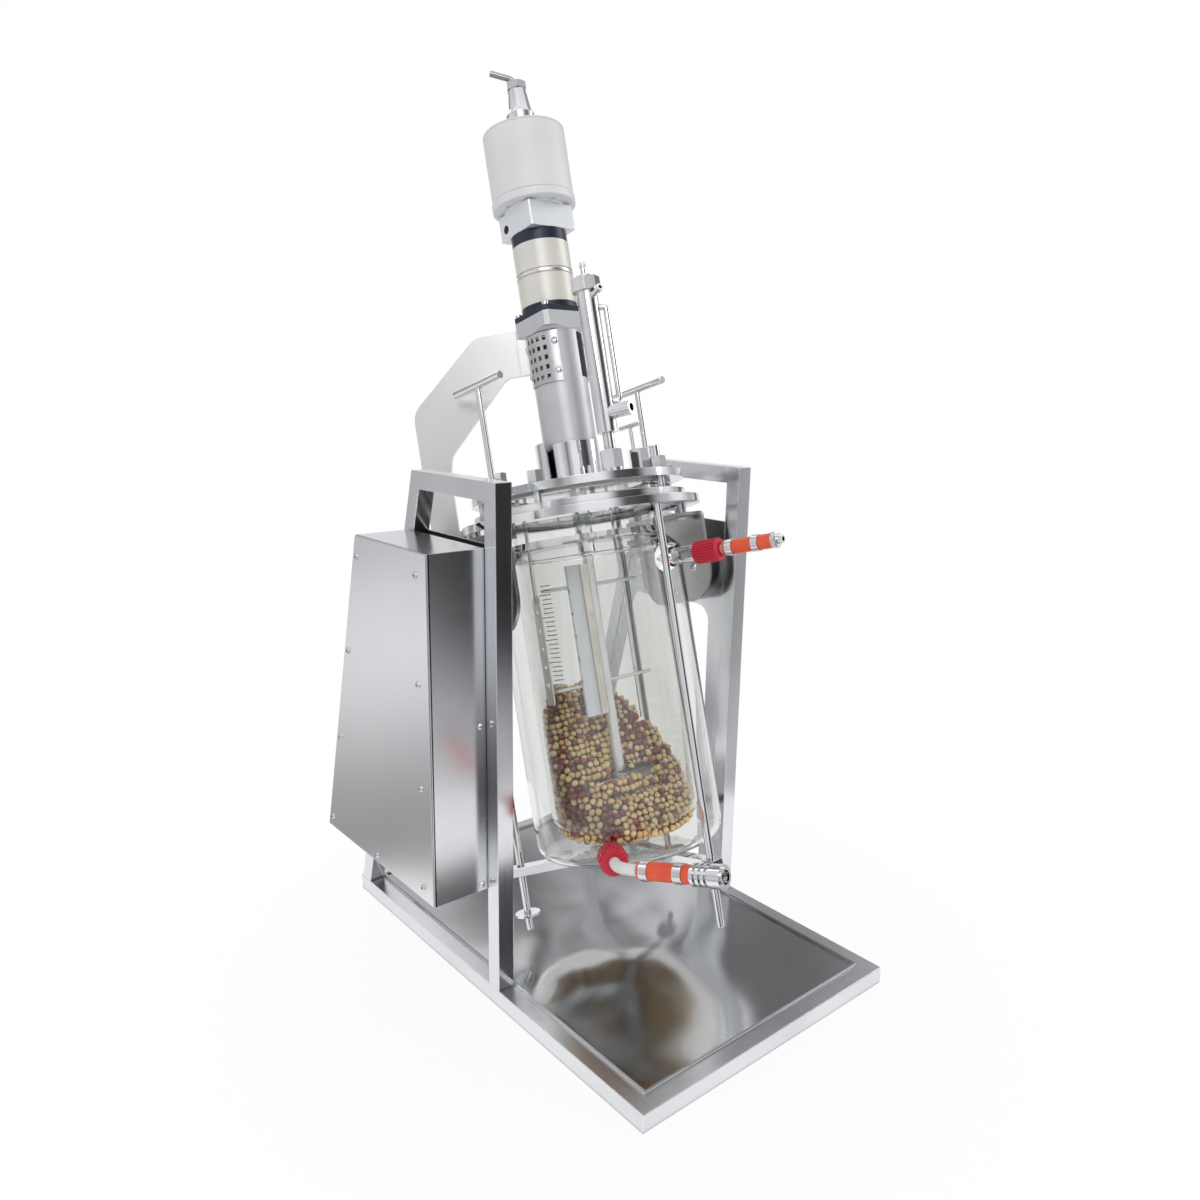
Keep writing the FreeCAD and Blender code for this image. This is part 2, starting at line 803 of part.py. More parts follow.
# ---- vessel -------------------------------------------------------------------------------------
def glass_vessel():
    """Inner glass: straight bore with a dished bottom, neck and ground flange."""
    flange_top = neck_flange_z + neck_flange_t
    outer = lathe([(0, dish_bottom - inner_wall, 0), (inner_out_r, dish_knuckle, dish_knuckle_r),
                   (inner_out_r, neck_flange_z, 0), (neck_flange_r, neck_flange_z, 2.0),
                   (neck_flange_r, flange_top, 1.5), (0, flange_top, 0)])
    bore = lathe([(0, dish_bottom, 0), (bore_r, dish_knuckle, dish_knuckle_r),
                  (bore_r, flange_top + 1, 0), (0, flange_top + 1, 0)])
    return outer.cut(bore)


def glass_jacket():
    """Outer glass, fused to the inner at its shoulder, with two hose nozzles."""
    neck = inner_out_r
    shoulder = jacket_top + shoulder_rise
    wall = jacket_wall
    body = lathe([(0, 0, 0), (jacket_r, 0, jacket_foot_r), (jacket_r, jacket_top, shoulder_r),
                  (neck + wall, shoulder, 2.0), (neck, shoulder + seam_rise, 0), (0, shoulder + seam_rise, 0)])
    cavity = lathe([(0, wall, 0), (jacket_r - wall, wall, jacket_foot_r - wall),
                    (jacket_r - wall, jacket_top - 1, shoulder_r - 2), (neck, shoulder - wall - 1, 0),
                    (neck, shoulder + seam_rise + 1, 0), (0, shoulder + seam_rise + 1, 0)])
    upper_end = upper_cap_from + upper_cap_length
    stem = disc(upper_nozzle_r, jacket_r - 6, upper_end - 6)
    flare = cone(upper_nozzle_r * 2, upper_nozzle_r, jacket_r - 3, jacket_r + 14)
    upper = upper_axis(joined([stem, flare]))
    upper_bore = upper_axis(disc(upper_nozzle_bore, jacket_r - 14, upper_end))
    lower_dir = polar(1, lower_port_azimuth)
    lower_at = V(*lower_port_at)
    lower = aimed(disc(lower_nozzle_r, -28, lower_cap_reach - 6.1), lower_at, lower_dir)
    lower_bore = aimed(disc(lower_nozzle_bore, -40, lower_cap_reach), lower_at, lower_dir)
    shell = body.fuse(upper).fuse(lower).cut(cavity).cut(upper_bore).cut(lower_bore)
    return shell.removeSplitter()


def carrier_ring():
    """Ring that hangs between the cradle plates and carries the vessel's head."""
    return washer(carrier_r, carrier_bore_r, carrier_z, carrier_z + ring_t)


def clamp_ring():
    """Ring under the glass flange."""
    return washer(clamp_r, clamp_bore_r, clamp_z, clamp_z + ring_t)


def flange_gasket():
    """Soft seal between the glass flange and the lid."""
    return washer(neck_flange_r - 1.5, bore_r + 2, gasket_z, gasket_z + gasket_t)


def head_plate():
    """Steel lid with holes for the studs, the shaft sleeve and the ports."""
    lid = disc(lid_r, lid_z, lid_top)
    lid = lid.cut(disc(bearing_out_r - 2 + 0.1, lid_z - 1, lid_top + 1))
    for azimuth in stud_azimuths:
        at = polar(stud_circle_r, azimuth)
        lid = lid.cut(disc(stud_r + 0.1, lid_z - 1, lid_top + 1, at.x, at.y))
    return lid


def lid_bolts():
    """Bolts with cap nuts that draw the clamp ring up to the lid."""
    bolts = []
    for azimuth in stud_azimuths:
        at = polar(stud_circle_r, azimuth)
        shank = disc(stud_r, clamp_z + ring_t, lid_top, at.x, at.y)
        bolts.append(joined([shank, hexagon(nut_r, lid_top, lid_top + nut_h, at.x, at.y)]))
    return bolts


def vessel_legs():
    """Three round legs hanging from the carrier ring, the rear two with a stop disc."""
    legs = []
    for azimuth in leg_azimuths:
        at = polar(leg_circle_r, azimuth)
        leg = disc(leg_r, leg_bottom, carrier_z, at.x, at.y)
        foot = [e for e in leg.Edges if abs(e.BoundBox.ZMax - leg_bottom) < 0.1]
        leg = leg.makeChamfer(0.8, foot)
        if azimuth != leg_azimuths[0]:
            leg = joined([leg, disc(leg_disc_r, leg_disc_z, leg_disc_z + leg_disc_t, at.x, at.y)])
        legs.append(leg)
    return legs


def leg_spider():
    """Three welded flat bars under the vessel, each with a hole for its leg."""
    length = leg_circle_r + spider_overhang
    w = spider_bar_w / 2
    bars = []
    for azimuth in leg_azimuths:
        bar = box(0, length, -w, w, spider_z, spider_z + spider_bar_h)
        bars.append(turned(bar, azimuth))
    spider = joined(bars)
    for azimuth in leg_azimuths:
        at = polar(leg_circle_r, azimuth)
        spider = spider.cut(disc(leg_r + 0.05, spider_z - 1, spider_z + spider_bar_h + 1, at.x, at.y))
    return spider


def vessel_pads():
    """Soft pads between the spider and the glass."""
    pads = []
    for azimuth in leg_azimuths:
        at = polar(jacket_r * 0.72, azimuth)
        pads.append(disc(pad_r, spider_z + spider_bar_h, 0.0, at.x, at.y))
    return pads


# ---- drive on the lid ------------------------------------------------------------------------------
def drive_collar():
    """Bearing housing on the lid with a long sleeve for the shaft below it."""
    foot = lid_top + collar_foot_h
    body = disc(collar_r, foot, collar_top).fuse(disc(collar_foot_r, lid_top, foot))
    spigot = disc(bearing_out_r - 2, lid_z, lid_top)
    sleeve = disc(sleeve_r, lid_z - sleeve_drop, lid_z)
    housing = joined([body, spigot, sleeve])
    low = lid_z - sleeve_drop
    housing = housing.cut(disc(bearing_out_r + 0.02, lid_top + 3, collar_top + 1))
    housing = housing.cut(disc(shaft_r + 0.4, low + sleeve_bush, collar_top))
    return housing.cut(disc(shaft_r + running_gap, low - 1, low + sleeve_bush + 1))


def shaft_bearings():
    """Two ball bearings in the collar, each taken as one ring, and the shaft seal over them."""
    low = lid_top + 3
    rings = []
    for length in (shaft_bearing_t, shaft_bearing_t, shaft_seal_t):
        rings.append(washer(bearing_out_r, shaft_r + running_gap, low, low + length))
        low += length + 5
    return rings


def collar_shield():
    """Thin curved shield that stands beside the collar."""
    return sector(shield_r + shield_t, shield_r, lid_top, collar_top + 3, shield_from, shield_to)


def lantern_housing():
    """Cast lantern between collar and gearhead, square at the top, with two side windows."""
    body = disc(lantern_r, collar_top, lantern_flange_z)
    flange = chamfered_square(square, square_chamfer, lantern_flange_z, gear_flange_z)
    low = lantern_flange_z - lantern_blend_h
    blend = Part.makeCone(lantern_r, square * 0.56, lantern_blend_h, V(0, 0, low))
    blend = blend.common(chamfered_square(square, square_chamfer, low, lantern_flange_z))
    housing = joined([body, blend, flange])
    housing = housing.cut(disc(lantern_bore_r, collar_top - 1, gear_flange_z - 5))
    housing = housing.cut(disc(output_shaft_r + 4, gear_flange_z - 6, gear_flange_z + 1))
    low = guard_mid - guard_h / 2 + 6
    high = guard_mid + guard_h / 2 - 6
    for turn in (0.0, 180.0):
        window = sector(lantern_r + 2, lantern_bore_r - 2, low, high, guard_from + 14 + turn,
                        guard_to - 14 + turn)
        housing = housing.cut(window)
    return housing


def guard_plate(turn):
    """Curved perforated sheet over a lantern window."""
    r0 = lantern_r + guard_gap
    plate = sector(r0 + guard_sheet, r0, guard_mid - guard_h / 2, guard_mid + guard_h / 2,
                   guard_from, guard_to)
    w = guard_hole_w / 2
    for row in range(guard_rows):
        z = guard_mid + (row - (guard_rows - 1) / 2) * guard_pitch
        for azimuth in guard_columns:
            hole = box(r0 - 3, r0 + 4, -w, w, z - guard_hole_h / 2, z + guard_hole_h / 2)
            plate = plate.cut(turned(hole, azimuth))
    return turned(plate, turn)


def drive_screws():
    """Screws of both guards, of the gear flange and of the can's underside."""
    head = dome_screw(guard_screw_r, 2.4)
    screws = []
    r = lantern_r + guard_gap + guard_sheet
    for turn in (0.0, 180.0):
        for azimuth in guard_screw_azimuths:
            for rise in (-guard_screw_span / 2, guard_screw_span / 2):
                place = polar(r, azimuth + turn, guard_mid + rise)
                screws.append(aimed(head, place, polar(1, azimuth + turn)))
    head = joined([disc(flange_screw_r, 0, 3.6), dome_screw(flange_screw_r, 1.6).translated(V(0, 0, 3.6))])
    for x in (-flange_screw_at, flange_screw_at):
        for y in (-flange_screw_at, flange_screw_at):
            screws.append(aimed(head, V(x, y, gear_flange_z + gear_plate_h), V(0, 0, 1)))
    head = dome_screw(can_screw_r, 1.2)
    for azimuth in (-180.0, -90.0, 0.0, 90.0):
        screws.append(aimed(head, polar(can_screw_circle_r, azimuth, can_z), V(0, 0, -1)))
    return screws


def gear_flange():
    """Dark flange of the gearhead, square below and round above."""
    plate_top = gear_flange_z + gear_plate_h
    plate = chamfered_square(square, square_chamfer, gear_flange_z, plate_top)
    flange = joined([plate, disc(gearhead_r, plate_top, gearhead_z)])
    return flange.cut(disc(output_shaft_r + running_gap, gear_flange_z - 1, gearhead_z + 1))


def gearhead():
    """Sealed planetary gearhead with its motor, a seam band round the middle."""
    seam = gearhead_z + gearhead_h * 0.46
    body = disc(gearhead_r, gearhead_z, motor_ring_z)
    groove = washer(gearhead_r + 1, gearhead_r - 0.6, seam, seam + 1.2)
    second = washer(gearhead_r + 1, gearhead_r - 0.6, seam + 5, seam + 6.2)
    return body.cut(groove).cut(second)


def motor_ring():
    """Dark ring above the gearhead."""
    return disc(motor_ring_r, motor_ring_z, adapter_z)


def adapter_block():
    """Square aluminium block that carries the motor can, with a blind hole in its side."""
    top = adapter_z + adapter_h
    block = chamfered_square(adapter_side, adapter_chamfer, adapter_z, top)
    neck = disc(can_screw_circle_r - can_screw_r - can_screw_clear, top, can_z)
    z = adapter_z + adapter_hole_rise
    face = -adapter_side / 2
    hole = rod(adapter_hole_r, V(face - 1, adapter_hole_y, z), V(face + 4, adapter_hole_y, z))
    return joined([block, neck]).cut(hole)


def motor_can():
    """Round white motor cover with a lower band and a rounded rim."""
    band_top = can_z + can_band
    band_r = can_r + can_step
    rim = can_top - can_rim
    return lathe([(0, can_z, 0), (band_r, can_z, 1.5), (band_r, band_top, 0.6), (can_r - 0.5, band_top, 0),
                  (can_r - 0.5, band_top + 0.6, 0), (can_r, band_top + 0.6, 0), (can_r, rim - 0.4, 0),
                  (can_r - 0.4, rim - 0.4, 0), (can_r - 0.4, rim, 0), (can_r, rim, 0),
                  (can_r, can_top, 1.4), (0, can_top, 0)])


def cable_gland():
    """Tapered cable gland on top of the can, with its domed nut."""
    shoulder = can_top + gland_base_h
    body = lathe([(0, can_top, 0), (gland_base_r, can_top, 0), (gland_base_r, shoulder, 0),
                  (gland_r, shoulder + gland_shoulder_h, 0), (gland_top_r, gland_top, 0), (0, gland_top, 0)])
    nut_top = gland_top + gland_nut_h
    nut = hexagon(gland_nut_r, gland_top, nut_top, bevel=2.4)
    gland = joined([body, nut]).cut(disc(gland_tube_r + 0.05, gland_top - 10, nut_top + 1))
    return gland.cut(cone(gland_tube_r, gland_mouth_r, nut_top - 7, nut_top + 0.01))


def gland_tube():
    """Short bent tube that leaves the gland."""
    corner = V(0, 0, gland_top + gland_nut_h + 2)
    end = corner.add(V(polar(1, 140.0)).multiply(26)).add(V(0, 0, 12))
    points = [V(0, 0, gland_top - 8), corner, end]
    solid = pipe(points, [13.0], gland_tube_r)
    return solid.cut(pipe(points, [13.0], gland_tube_r - 1.0))


# ---- lifting arm --------------------------------------------------------------------------------------
def arm_plate():
    """Flat hooked plate behind the drive, with a pad on the lantern and a foot on the ring."""
    points = [(arm_front_r, arm_under, 0), (60.0, arm_under, 18.0), (arm_inner_r - 5, 464.0, 20.0),
              (arm_inner_r, 440.0, 20.0), (arm_inner_r, arm_foot, arm_corner_r),
              (arm_outer_r, arm_foot, arm_corner_r), (arm_outer_r, 519.0, 26.0),
              (90.0, arm_top, 22.0), (arm_front_r, arm_top, 0)]
    h = arm_sheet / 2
    hook = outline(points, lambda r, z: V(r, -h, z)).extrude(V(0, arm_sheet, 0))
    pad = box(lantern_r - 4, arm_front_r, -h - 2, h + 2, arm_under, arm_top - arm_pad_drop)
    pad = pad.cut(disc(lantern_r + 0.02, arm_under - 1, arm_top + 1))
    z0 = carrier_z - arm_foot_h
    z1 = carrier_z + ring_t
    foot = box(carrier_r - 8, arm_inner_r + 1, -arm_foot_w, arm_foot_w, z0, z1)
    foot = foot.cut(disc(carrier_r + 0.02, carrier_z, z1 + 1))
    return turned(joined([hook, pad, foot]), arm_azimuth)


# ---- fittings on the lid ---------------------------------------------------------------------------------
def condenser_body():
    """Steel condenser: jacket tube, neck to the lid, socket near its foot, side tube."""
    x, y = condenser_at
    z0 = lid_top + condenser_body_z
    z1 = z0 + condenser_body_h
    body = disc(condenser_r, z0, z1, x, y)
    neck = disc(condenser_neck_r, lid_top, z0, x, y)
    low = V(x, y, z0 + condenser_socket_rise)
    out = polar(1, condenser_socket_azimuth)
    socket = rod(condenser_socket_r, low, low.add(V(out).multiply(condenser_socket_reach)))
    high = V(x, y, z1 - condenser_barb_drop)
    up = V(0, 0, 0.25).add(polar(1, condenser_barb_azimuth))
    barb_end = high.add(V(up).multiply(condenser_barb_reach))
    barb = rod(condenser_barb_r, high, barb_end)
    lip = rod(condenser_barb_lip_r, high.add(V(up).multiply(condenser_barb_reach * 0.8)), barb_end)
    shell = joined([body, neck, socket, barb, lip])
    shell = shell.cut(disc(condenser_r - condenser_wall, z0 + 2, z1 - 2, x, y))
    shell = shell.cut(disc(condenser_neck_r - 2, lid_top - 1, z0 + 3, x, y))
    inside = V(out).multiply(condenser_r / 2)
    beyond = V(out).multiply(condenser_socket_reach + 5)
    shell = shell.cut(rod(condenser_socket_bore, low.add(inside), low.add(beyond)))
    shell = shell.cut(rod(condenser_barb_bore, high, barb_end.add(V(up).multiply(5))))
    return joined([shell, return_tube()])


def return_tube():
    """Thin tube beside the condenser, turned in to it at both ends."""
    x, y = condenser_at
    foot = lid_top + condenser_body_z
    z0 = foot + return_tube_low
    z1 = foot + condenser_body_h - return_tube_drop
    away = polar(1, return_tube_azimuth)
    axis = V(x, y, 0)
    near = axis.add(V(away).multiply(condenser_r - 0.6))
    far = axis.add(V(away).multiply(return_tube_offset + return_tube_r))
    points = [near.add(V(0, 0, z0)), far.add(V(0, 0, z0)), far.add(V(0, 0, z1)), near.add(V(0, 0, z1))]
    return pipe(points, [return_tube_bend] * 2, return_tube_r)


def condenser_cap():
    """Faceted cap with a hose barb on top."""
    x, y = condenser_at
    z0 = lid_top + condenser_body_z + condenser_body_h
    corners = [polar(condenser_cap_r, 45 * i) for i in range(8)]
    cap = outline([(c.x, c.y, 0) for c in corners], lambda u, v: V(u + x, v + y, z0))
    cap = cap.extrude(V(0, 0, condenser_cap_h))
    z1 = z0 + condenser_cap_h
    collar = disc(condenser_cap_r * 0.62, z1, z1 + 2.5, x, y)
    top = z1 + condenser_tip_h
    barb = disc(condenser_tip_r, z1, top, x, y)
    ring = cone(condenser_tip_r + 0.8, condenser_tip_r, top - 4, top - 1, x, y)
    cap = joined([cap, collar, barb, ring])
    return cap.cut(disc(condenser_tip_r - 1.2, z0 + 4, top + 1, x, y))


def condenser_nut():
    """Union nut that holds the condenser on its port, over a base ring."""
    x, y = condenser_at
    foot = lid_top + condenser_base_h
    top = foot + condenser_nut_h
    base = disc(condenser_nut_r * 0.9, lid_top, foot, x, y)
    nut = hexagon(condenser_nut_r, foot, top, x, y)
    return joined([base, nut]).cut(disc(condenser_neck_r + 0.05, lid_top - 1, top + 1, x, y))


def lift_handle(at, height, stem_r, bar_r, rear, front):
    """Upright stem with a cross bar."""
    x, y = at
    z = lid_top + height
    stem = disc(stem_r, lid_top, z, x, y)
    bar = rod(bar_r, V(x, y - front, z), V(x, y + rear, z))
    bar = bar.makeChamfer(0.6, [e for e in bar.Edges if e.BoundBox.YLength < 0.1])
    return joined([stem, bar])


def lid_handles():
    """Two lifting handles and a small one on the lid."""
    return [lift_handle(left_handle_at, left_handle_h, handle_stem_r, handle_bar_r,
                        handle_bar_rear, handle_bar_front),
            lift_handle(right_handle_at, right_handle_h, handle_stem_r, handle_bar_r,
                        handle_bar_rear, handle_bar_front),
            lift_handle(small_handle_at, small_handle_h, small_handle_stem_r, small_handle_bar_r,
                        small_handle_half, small_handle_half)]


def port_plugs():
    """Hexagon plugs of the unused lid ports, and a tall round port beside the handles."""
    plugs = [hexagon(r, lid_top, lid_top + h, x, y) for x, y, r, h in plug_places]
    foot = lid_top + tall_port_foot_h
    top = lid_top + tall_port_h
    tall = lathe([(0, lid_top, 0), (tall_port_foot_r, lid_top, 0), (tall_port_foot_r, foot, 0.8),
                  (tall_port_r, foot + 1, 0), (tall_port_r, top, 1.0), (0, top, 0)])
    tall = tall.cut(disc(tall_port_bore, top - 8, top + 1))
    tall.translate(V(tall_port_at[0], tall_port_at[1], 0))
    plugs.append(tall)
    return plugs


# ---- inside the vessel -----------------------------------------------------------------------------------
def agitator_shaft():
    """Main shaft with its two cross rods."""
    top = collar_top + 30
    shaft = disc(shaft_r, shaft_bottom, top)
    rods = [rod(cross_rod_r, V(-cross_rod_half, 0, z), V(cross_rod_half, 0, z)) for z in cross_rod_heights]
    return joined([shaft] + rods)


def paddle():
    """White blade clamped in front of the cross rods."""
    y1 = -cross_rod_r
    return box(paddle_outer, paddle_inner, y1 - paddle_t, y1, paddle_bottom, paddle_top)


def paddle_strip():
    """Steel strip that backs the paddle, with its four screw heads."""
    y1 = -cross_rod_r - paddle_t
    strip = box(paddle_inner - strip_w, paddle_inner, y1 - strip_t, y1, paddle_bottom, paddle_top)
    head = dome_screw(1.9, 1.1)
    x = paddle_inner - strip_w / 2
    span = paddle_top - paddle_bottom - 16
    heads = [aimed(head, V(x, y1 - strip_t + 0.02, paddle_bottom + 8 + span * i / 3), V(0, -1, 0))
             for i in range(4)]
    return joined([strip] + heads)


def mixing_blade():
    """Two pitched blades on a hub at the foot of the shaft."""
    h = blade_hub_h / 2
    hub = washer(shaft_r + 4, shaft_r + 0.01, blade_z - h, blade_z + h)
    low = blade_z - blade_t / 2
    blades = []
    for turn in (0.0, 180.0):
        blade = box(shaft_r + 3, blade_half, -blade_w / 2, blade_w / 2, low, low + blade_t)
        blade.rotate(V(0, 0, blade_z), V(1, 0, 0), blade_pitch)
        blades.append(turned(blade, turn))
    return joined([hub] + blades)


def shaft_coupling():
    """Coupling hub on the gearhead's output shaft, bored for the agitator's shaft."""
    low = collar_top + 12
    high = low + 58
    hub = lathe([(0, low, 0), (coupling_r, low, 1.0), (coupling_r, high, 1.0), (0, high, 0)])
    groove = washer(coupling_r + 1, coupling_r - 2, low + 25, low + 33)
    hub = joined([hub.cut(groove), disc(output_shaft_r, high - 1, gearhead_z - 0.3)])
    return hub.cut(disc(shaft_r + 0.01, low - 1, collar_top + 30))


def baffle_strip():
    """Perforated strip with a rounded top, hung from the lid by a thin rod."""
    half = baffle_w / 2
    points = [(-half, baffle_bottom, 2.0), (half, baffle_bottom, 2.0), (half, baffle_top, half - 0.1),
              (-half, baffle_top, half - 0.1)]
    x0 = inner_circle_r - baffle_t / 2
    strip = plate_yz(points, x0, x0 + baffle_t)
    z = baffle_top - 18
    while z > baffle_bottom + 10:
        strip = strip.cut(rod(baffle_hole_r, V(x0 - 2, 0, z), V(x0 + 4, 0, z)))
        z -= baffle_pitch
    hanger = disc(1.8, baffle_top - 8, lid_z, inner_circle_r, 0)
    return turned(joined([strip, hanger]), baffle_azimuth)


def dip_tube():
    """Thin sampling tube from the lid down into the vessel."""
    at = polar(inner_circle_r, dip_tube_azimuth)
    tube_body = disc(dip_tube_r, dip_tube_bottom, lid_z, at.x, at.y)
    return tube_body.cut(disc(dip_tube_r - 0.6, dip_tube_bottom - 1, lid_z - 4, at.x, at.y))


def bean_fill():
    """Heap of beans that rises to the rear, cleared where the agitator sweeps."""
    r = bore_r - fill_gap
    high = heap_on_axis + bore_r * math.tan(math.radians(heap_slope))
    fill = lathe([(0, dish_bottom + fill_gap, 0), (r, dish_knuckle + fill_gap, dish_knuckle_r),
                  (r, high, 0), (0, high, 0)])
    above = box(-2 * bore_r, 2 * bore_r, -3 * bore_r, 3 * bore_r, 0, 4 * bore_r)
    above.rotate(V(0, 0, 0), V(1, 0, 0), heap_slope)
    above.translate(V(0, 0, heap_on_axis))
    fill = fill.cut(above)
    blade_reach = blade_hub_h / 2 + heap_clearance
    rods_low = cross_rod_heights[0] - cross_rod_r - heap_clearance
    sweep = disc(shaft_r + heap_clearance, shaft_bottom - heap_clearance, lid_z)
    sweep = sweep.fuse(disc(blade_half + heap_clearance, blade_z - blade_reach, blade_z + blade_reach))
    sweep = sweep.fuse(disc(abs(paddle_outer) + 2 * heap_clearance, paddle_bottom - heap_clearance, lid_z))
    sweep = sweep.fuse(disc(cross_rod_half + heap_clearance, rods_low, lid_z))
    fill = fill.cut(sweep)
    at = polar(inner_circle_r, dip_tube_azimuth)
    fill = fill.cut(disc(tube_channel_r, dip_tube_bottom - tube_channel_r, lid_z, at.x, at.y))
    return max(fill.Solids, key=lambda solid: solid.Volume)


# ---- side ports ------------------------------------------------------------------------------------------
def ribbed(r_out, r_in, ribs, length):
    """Round bar with ribs along it, from the origin up."""
    points = []
    for i in range(ribs * 2):
        r = r_out if i % 2 == 0 else r_in
        for shift in (-0.28, 0.28):
            angle = math.pi * (i + shift) / ribs
            points.append((r * math.cos(angle), r * math.sin(angle), 0))
    return outline(points, lambda u, v: V(u, v, 0)).extrude(V(0, 0, length))


def port_cap(r, length, inner_r, hole_r):
    """Ribbed screw cap over a glass nozzle, from the origin up, holed for the tube."""
    grip = ribbed(r, r - 0.9, cap_ribs, length - 3)
    collar = cone(r - 0.9, r - 2.2, length - 3, length)
    cap = joined([grip, collar])
    cap = cap.cut(disc(inner_r, -1, length - 4))
    return cap.cut(disc(hole_r, -1, length + 1))


def upper_axis(shape):
    """Set a piece built up +Z on the upper port, measured from the vessel's axis."""
    return aimed(shape, V(0, 0, upper_port_z), polar(1, upper_port_azimuth))


def upper_port_cap():
    """Red cap of the upper port."""
    cap = port_cap(upper_cap_r, upper_cap_length, upper_nozzle_r + hose_fit, upper_spigot_r + hose_fit)
    cap.translate(V(0, 0, upper_cap_from))
    return upper_axis(cap)


def upper_port_tube():
    """White spigot through the upper cap into the hose."""
    end = upper_cap_from + upper_cap_length
    tip = end + upper_spigot_reach
    stem = disc(upper_spigot_r, end - 5.8, tip)
    lip = disc(upper_spigot_lip_r, end - 5.8, end - 4.1)
    return upper_axis(joined([stem, lip]).cut(disc(upper_spigot_bore, end - 10, tip + 1)))


def upper_port_hose():
    """Short stiff length of orange hose, pushed over the spigot and the coupling."""
    return upper_axis(washer(upper_hose_r, upper_spigot_r + hose_fit, upper_hose_from, upper_hose_to))


def clamp_band(r, width):
    """Thin steel band with a small screw block under it, from the origin up."""
    band = washer(r + 0.9, r + 0.02, 0, width)
    lug = box(r + 0.5, r + 3.2, -1.6, 1.6, width * 0.2, width * 0.8)
    return joined([band, lug])


def hose_clamps():
    """Two bands on each hose."""
    bands = []
    for start in upper_clamps_from:
        band = clamp_band(upper_hose_r, upper_clamp_w)
        band.translate(V(0, 0, start))
        bands.append(upper_axis(band))
    cap_dir, hose_dir, start, bend, hose_start = lower_points()
    for along in lower_clamps_along:
        band = clamp_band(lower_hose_r, lower_clamp_w)
        bands.append(aimed(band, V(hose_start).add(V(hose_dir).multiply(along)), hose_dir))
    return bands


def upper_coupling():
    """Steel hose tail with a hexagon and a plain tip."""
    stem = disc(upper_spigot_r, upper_hose_to - 24, upper_hose_to)
    hexa = hexagon(8.6, upper_hose_to, upper_hose_to + 5.5)
    tip = disc(4.2, upper_hose_to, upper_tip)
    piece = joined([stem, hexa, tip])
    return upper_axis(piece.cut(disc(2.4, upper_hose_to - 30, upper_tip + 1)))


def lower_points():
    """Corner points of the lower outlet: cap end, bend, hose start and hose direction."""
    cap_dir = polar(1, lower_port_azimuth)
    hose_dir = polar(1, lower_hose_azimuth)
    start = V(*lower_port_at).add(V(cap_dir).multiply(lower_cap_reach))
    bend = V(start).add(V(cap_dir).multiply(lower_elbow_run))
    hose_start = V(bend).add(V(hose_dir).multiply(lower_elbow_reach))
    return cap_dir, hose_dir, start, bend, hose_start


def lower_port_cap():
    """Red cap of the lower port."""
    cap_dir, hose_dir, start, bend, hose_start = lower_points()
    cap = port_cap(lower_cap_r, lower_cap_length, lower_nozzle_r + hose_fit, lower_elbow_r + hose_fit)
    back = V(start).sub(V(cap_dir).multiply(lower_cap_length))
    return aimed(cap, back, cap_dir)


def lower_port_tube():
    """White elbow from the lower cap into the hose."""
    cap_dir, hose_dir, start, bend, hose_start = lower_points()
    inside = V(start).sub(V(cap_dir).multiply(5.9))
    end = V(hose_start).add(V(hose_dir).multiply(14))
    elbow = pipe([inside, bend, end], [lower_elbow_bend_r], lower_elbow_r)
    collar = aimed(disc(9.5, 0, 1.5), inside, cap_dir)
    elbow = joined([elbow, collar])
    bore = [V(inside).sub(cap_dir), bend, V(end).add(hose_dir)]
    return elbow.cut(pipe(bore, [lower_elbow_bend_r], lower_elbow_bore))


def lower_port_hose():
    """Short stiff length of orange hose."""
    cap_dir, hose_dir, start, bend, hose_start = lower_points()
    hose = washer(lower_hose_r, lower_elbow_r + 2 * hose_fit, 0, lower_hose_length)
    return aimed(hose, hose_start, hose_dir)


def lower_coupling():
    """Steel quick coupling with grip rings, its stem inside the hose."""
    cap_dir, hose_dir, start, bend, hose_start = lower_points()
    length = lower_coupling_length
    stem = disc(lower_elbow_r + hose_fit, -16, 0)
    body = disc(9.2, 0, length)
    rings = [disc(11.0, z, z + 3.2) for z in (2.0, 8.0, 14.0)]
    head = disc(11.4, 21.0, length - 1.5)
    piece = joined([stem, body, head] + rings)
    piece = piece.cut(disc(3.6, -17, length))
    piece = piece.cut(disc(coupling_bore, length - coupling_bore_depth, length + 1))
    end = V(hose_start).add(V(hose_dir).multiply(lower_hose_length))
    return aimed(piece, end, hose_dir)


# ---- parts list -----------------------------------------------------------------------------------------------
STAND = {
    "base_frame": base_frame,
    "base_tray": base_tray,
    "left_side_frame": lambda: side_frame(-1),
    "right_side_frame": lambda: side_frame(1),
    "left_side_plate": left_side_plate,
    "right_side_plate": right_side_plate,
    "drive_box_shell": drive_box_shell,
    "drive_box_panel": drive_box_panel,
    "drive_box_screws": drive_box_screws,
    "tilt_gearbox": tilt_gearbox,
    "tilt_motor": tilt_motor,
    "trunnion_bearings": lambda: [bearing(-1), bearing(1)],
}

